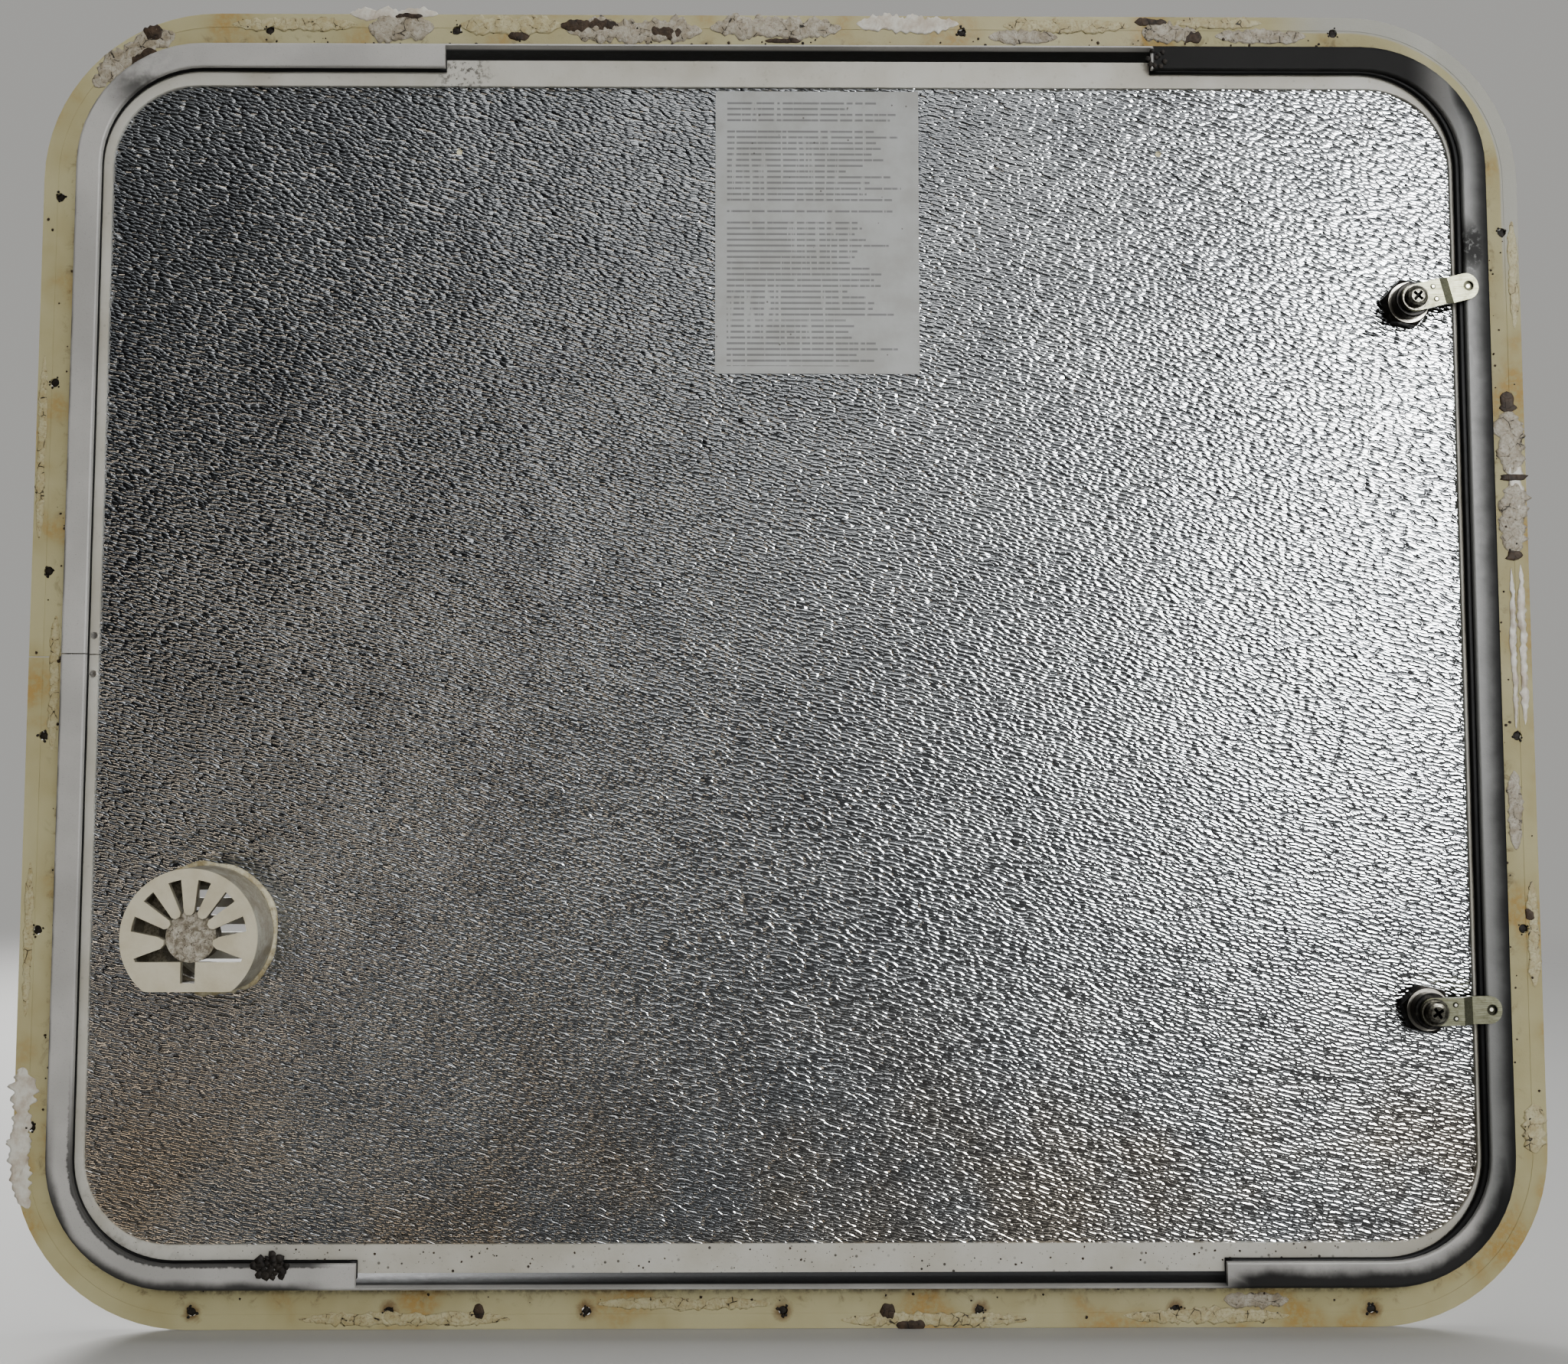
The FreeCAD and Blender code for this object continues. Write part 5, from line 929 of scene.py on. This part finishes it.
def make_crumbs():
    """Crumbs of dirt along the foot of the web and on the door's lower trim."""
    dice = random.Random(11)
    vertices, faces = [], []
    for i in range(150):
        where = dice.choice(("top", "top", "bottom", "latch", "hinge"))
        along = dice.uniform(-300, 300)
        length = walk(where, along if where in ("top", "bottom") else along * 0.8)
        inset = dice.gauss(15.5, 1.5) if dice.random() < 0.7 else dice.uniform(2, 15)
        x, z = FLANGE.at(length * MM, -inset * MM)
        size = dice.uniform(0.25, 0.9) * MM
        add_lump(x, size * 0.35, z, size, i, vertices, faces)
    add_piece("dirt_crumbs", "frame", BROWN_PUTTY, vertices, faces)
    vertices, faces = [], []
    trim_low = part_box("door_edge_trim")[0]
    for i in range(70):
        x = dice.uniform(-0.30, 0.30)
        z = trim_low.z + dice.uniform(2.0, 12.5) * MM
        size = dice.uniform(0.2, 0.65) * MM
        add_lump(x, DOOR_BACK + size * 0.3, z, size, i + 200, vertices, faces)
    add_piece("dirt_flecks", "door", BROWN_PUTTY, vertices, faces)


make_crumbs()
make_screw_dirt()


def make_lip_ends():
    """The crushed tongue at one end of the lip, and the tarry lump near the other."""
    vertices, faces = [], []
    for i in range(9):
        x = -0.1936 - 0.0011 * i
        z = HALF_HEIGHT - FLANGE_WIDTH - (3.6 + 8.6 * (0.5 + 0.5 * math.sin(2.4 * i))) * MM
        add_lump(x, LIP_BACK + 0.1 * MM, z, 1.5 * MM, i, vertices, faces)
    crumbs = 22
    for i in range(crumbs):
        spread = (i / crumbs) ** 0.5
        x = 0.257 + 0.009 * math.cos(2.4 * i) * spread
        z = -0.3105 + 0.0062 * math.sin(2.4 * i) * spread
        add_lump(x, LIP_BACK + 0.2 * MM, z, (2.0 + math.sin(3.3 * i) * 0.7) * MM, i + 40, vertices, faces)
    add_piece("lip_tar", "frame", BLACK_DIRT, vertices, faces)


make_lip_ends()


def vent_foot(angle, outwards):
    """A point round the vent's foot, in the plane of the skin."""
    down = -math.sin(angle)
    reach = VENT_RADIUS
    if down > 0:
        blend = 18.0
        reach = (VENT_RADIUS ** -blend + (VENT_FLAT / down) ** -blend) ** (-1 / blend)
    return VENT_X + (reach + outwards) * math.cos(angle), VENT_Z + (reach + outwards) * math.sin(angle)


def make_vent_bead():
    """The bead of sealant, squeezed out unevenly and wiped along the flat."""
    sections = []
    count = 220
    for i in range(count):
        angle = 2 * math.pi * i / count
        low_side = max(0.0, -math.sin(angle)) ** 3
        width = (2.0 + 1.4 * low_side + 0.9 * wander(angle, 9, 0.35) + 1.6 * low_side * wander(angle, 12, 0.12)) * MM
        width = max(width, 0.8 * MM)
        height = max((1.5 + 1.3 * low_side + 0.5 * wander(angle, 15, 0.2)) * MM, 0.7 * MM)
        section = []
        for j in range(7):
            t = j / 6
            x, z = vent_foot(angle, -0.2 * MM + (width + 0.2 * MM) * t)
            section.append((x, SKIN_BACK + 0.03 * MM + height * (1 - t * t) ** 0.7, z))
        for offset in (width, -0.2 * MM):
            x, z = vent_foot(angle, offset)
            section.append((x, SKIN_BACK + 0.01 * MM, z))
        sections.append(section)
    vertices, faces = [], []
    skin_over(sections, True, vertices, faces)
    piece = add_piece("vent_bead", "door", SEALANT, vertices, faces)
    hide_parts("vent_sealant")


make_vent_bead()


# ---------------------------------------------------------------- floor, light and camera

def make_floor():
    """A round pale floor that fades out into the pale room, and is faint in the object's reflections."""
    p = Paint("floor", roughness=0.7)
    p.colour(p.mix(p.noise(0.4, 2), tone(196, 195, 192), tone(190, 189, 186)))
    p.bump((p.noise(4 * MM, 2), 0.05 * MM))
    clear = p.nodes.new("ShaderNodeBsdfTransparent")
    faded = p.nodes.new("ShaderNodeMixShader")
    mirrored = p.nodes.new("ShaderNodeLightPath").outputs["Is Glossy Ray"]
    p.put(faded.inputs[0], p.either(p.rise(p.far(p.x, p.y), 0.9, 2.4), p.times(mirrored, 0.85)))
    p.put(faded.inputs[1], p.shader.outputs[0])
    p.put(faded.inputs[2], clear.outputs[0])
    p.put(p.nodes["Material Output"].inputs["Surface"], faded.outputs[0])
    level = cad_low.z - 0.2 * MM
    radius, corners = 2.5, 72
    angles = [math.radians(5 * i) for i in range(corners)]
    rim = [(radius * math.cos(angle), radius * math.sin(angle), level) for angle in angles]
    mesh = bpy.data.meshes.new("floor")
    mesh.from_pydata(rim, [], [tuple(range(corners))])
    mesh.materials.append(p.material)
    floor = bpy.data.objects.new("floor", mesh)
    bpy.context.scene.collection.objects.link(floor)


def make_world():
    """A pale room to the camera; for light and reflections it is darker to one side and below, with two lamp bands."""
    world = bpy.data.worlds.new("studio")
    bpy.context.scene.world = world
    world.use_nodes = True
    nodes, links = world.node_tree.nodes, world.node_tree.links

    def add(kind, values, operation=None):
        node = nodes.new(kind)
        if operation:
            node.operation = operation
        for key, value in values.items():
            if isinstance(value, bpy.types.NodeSocket):
                links.new(value, node.inputs[key])
            else:
                node.inputs[key].default_value = value
        return node.outputs[0]

    def ramp(value, start, end, low, high):
        return add("ShaderNodeMapRange", {
            "Value": value, "From Min": start, "From Max": end, "To Min": low, "To Max": high})

    backdrop = nodes["Background"]
    backdrop.inputs["Color"].default_value = tone(196, 195, 192)
    backdrop.inputs["Strength"].default_value = 0.62
    split = nodes.new("ShaderNodeSeparateXYZ")
    links.new(nodes.new("ShaderNodeTexCoord").outputs["Generated"], split.inputs[0])
    side = ramp(split.outputs[0], 0.6, -1.0, 0.03, 0.32)
    rising = ramp(split.outputs[2], -0.22, 0.34, 0.30, 1.15)
    lamp_height, lamp_band, lamp_gain = 0.61, 0.06, 8.0
    height = add("ShaderNodeMath", {0: split.outputs[2]}, "ABSOLUTE")
    band = add("ShaderNodeMath", {0: height, 1: lamp_height, 2: lamp_band}, "COMPARE")
    lamps = add("ShaderNodeMath", {0: band, 1: lamp_gain, 2: rising}, "MULTIPLY_ADD")
    strength = add("ShaderNodeMath", {0: side, 1: lamps}, "MULTIPLY")
    room = add("ShaderNodeBackground", {"Strength": strength, "Color": tone(236, 238, 240)})
    seen = nodes.new("ShaderNodeLightPath").outputs["Is Camera Ray"]
    joined = add("ShaderNodeMixShader", {0: seen, 1: room, 2: backdrop.outputs[0]})
    links.new(joined, nodes["World Output"].inputs["Surface"])


def add_softbox(name, place, target, width, height, power, colour=(1.0, 1.0, 1.0), diffuse=True, glossy=True):
    """A lamp of this size in metres and power in watts, lighting dull surfaces, shiny ones or both."""
    light = bpy.data.lights.new(name, "AREA")
    light.shape = "RECTANGLE"
    light.size, light.size_y = width, height
    light.energy = power
    light.color = colour
    box = bpy.data.objects.new(name, light)
    bpy.context.scene.collection.objects.link(box)
    box.location = place
    box.rotation_mode = "QUATERNION"
    box.rotation_quaternion = (Vector(target) - Vector(place)).to_track_quat("-Z", "Y")
    box.visible_camera = False
    box.visible_diffuse = diffuse
    box.visible_glossy = glossy


make_floor()
make_world()
add_softbox("key", (-1.15, 1.40, 0.42), (-0.15, 0.0, 0.08), 0.85, 0.75, 32, diffuse=False)
add_softbox("key_soft", (-0.30, 1.70, 0.35), (0.0, 0.0, 0.0), 0.8, 0.8, 17, glossy=False)
add_softbox("ceiling", (-0.35, 1.80, 0.95), (0.0, 0.0, 0.0), 1.6, 0.5, 3.2, diffuse=False)
add_softbox("fill", (0.95, 1.50, 0.92), (0.0, 0.0, 0.0), 0.16, 0.16, 1.0, glossy=False)
add_softbox("warm_low", (0.70, 1.0, -0.30), (0.2, 0.0, -0.25), 0.9, 0.14, 0.7, (1.0, 0.84, 0.66), diffuse=False)
add_softbox("back_key", (1.1, -1.8, 0.9), (0.0, 0.0, 0.0), 1.2, 1.2, 42)
add_softbox("overhead", (0.0, 0.1, 1.9), (0.0, 0.0, 0.0), 1.4, 1.4, 10)

# The camera looks at the door from behind the wall, a little below its middle.
CAMERA_PLACE = Vector((0.0047, 0.7499, -0.0611))
CAMERA_TARGET = Vector((-0.0005, 0.0, -0.0152))
lens = bpy.data.cameras.new("camera")
lens.lens = 32.52
lens.sensor_width = 36.0
camera = bpy.data.objects.new("camera", lens)
bpy.context.scene.collection.objects.link(camera)
camera.location = CAMERA_PLACE
camera.rotation_mode = "QUATERNION"
camera.rotation_quaternion = (CAMERA_TARGET - CAMERA_PLACE).to_track_quat("-Z", "Y")
bpy.context.scene.camera = camera

bpy.context.scene.view_settings.look = "AgX - Medium High Contrast"
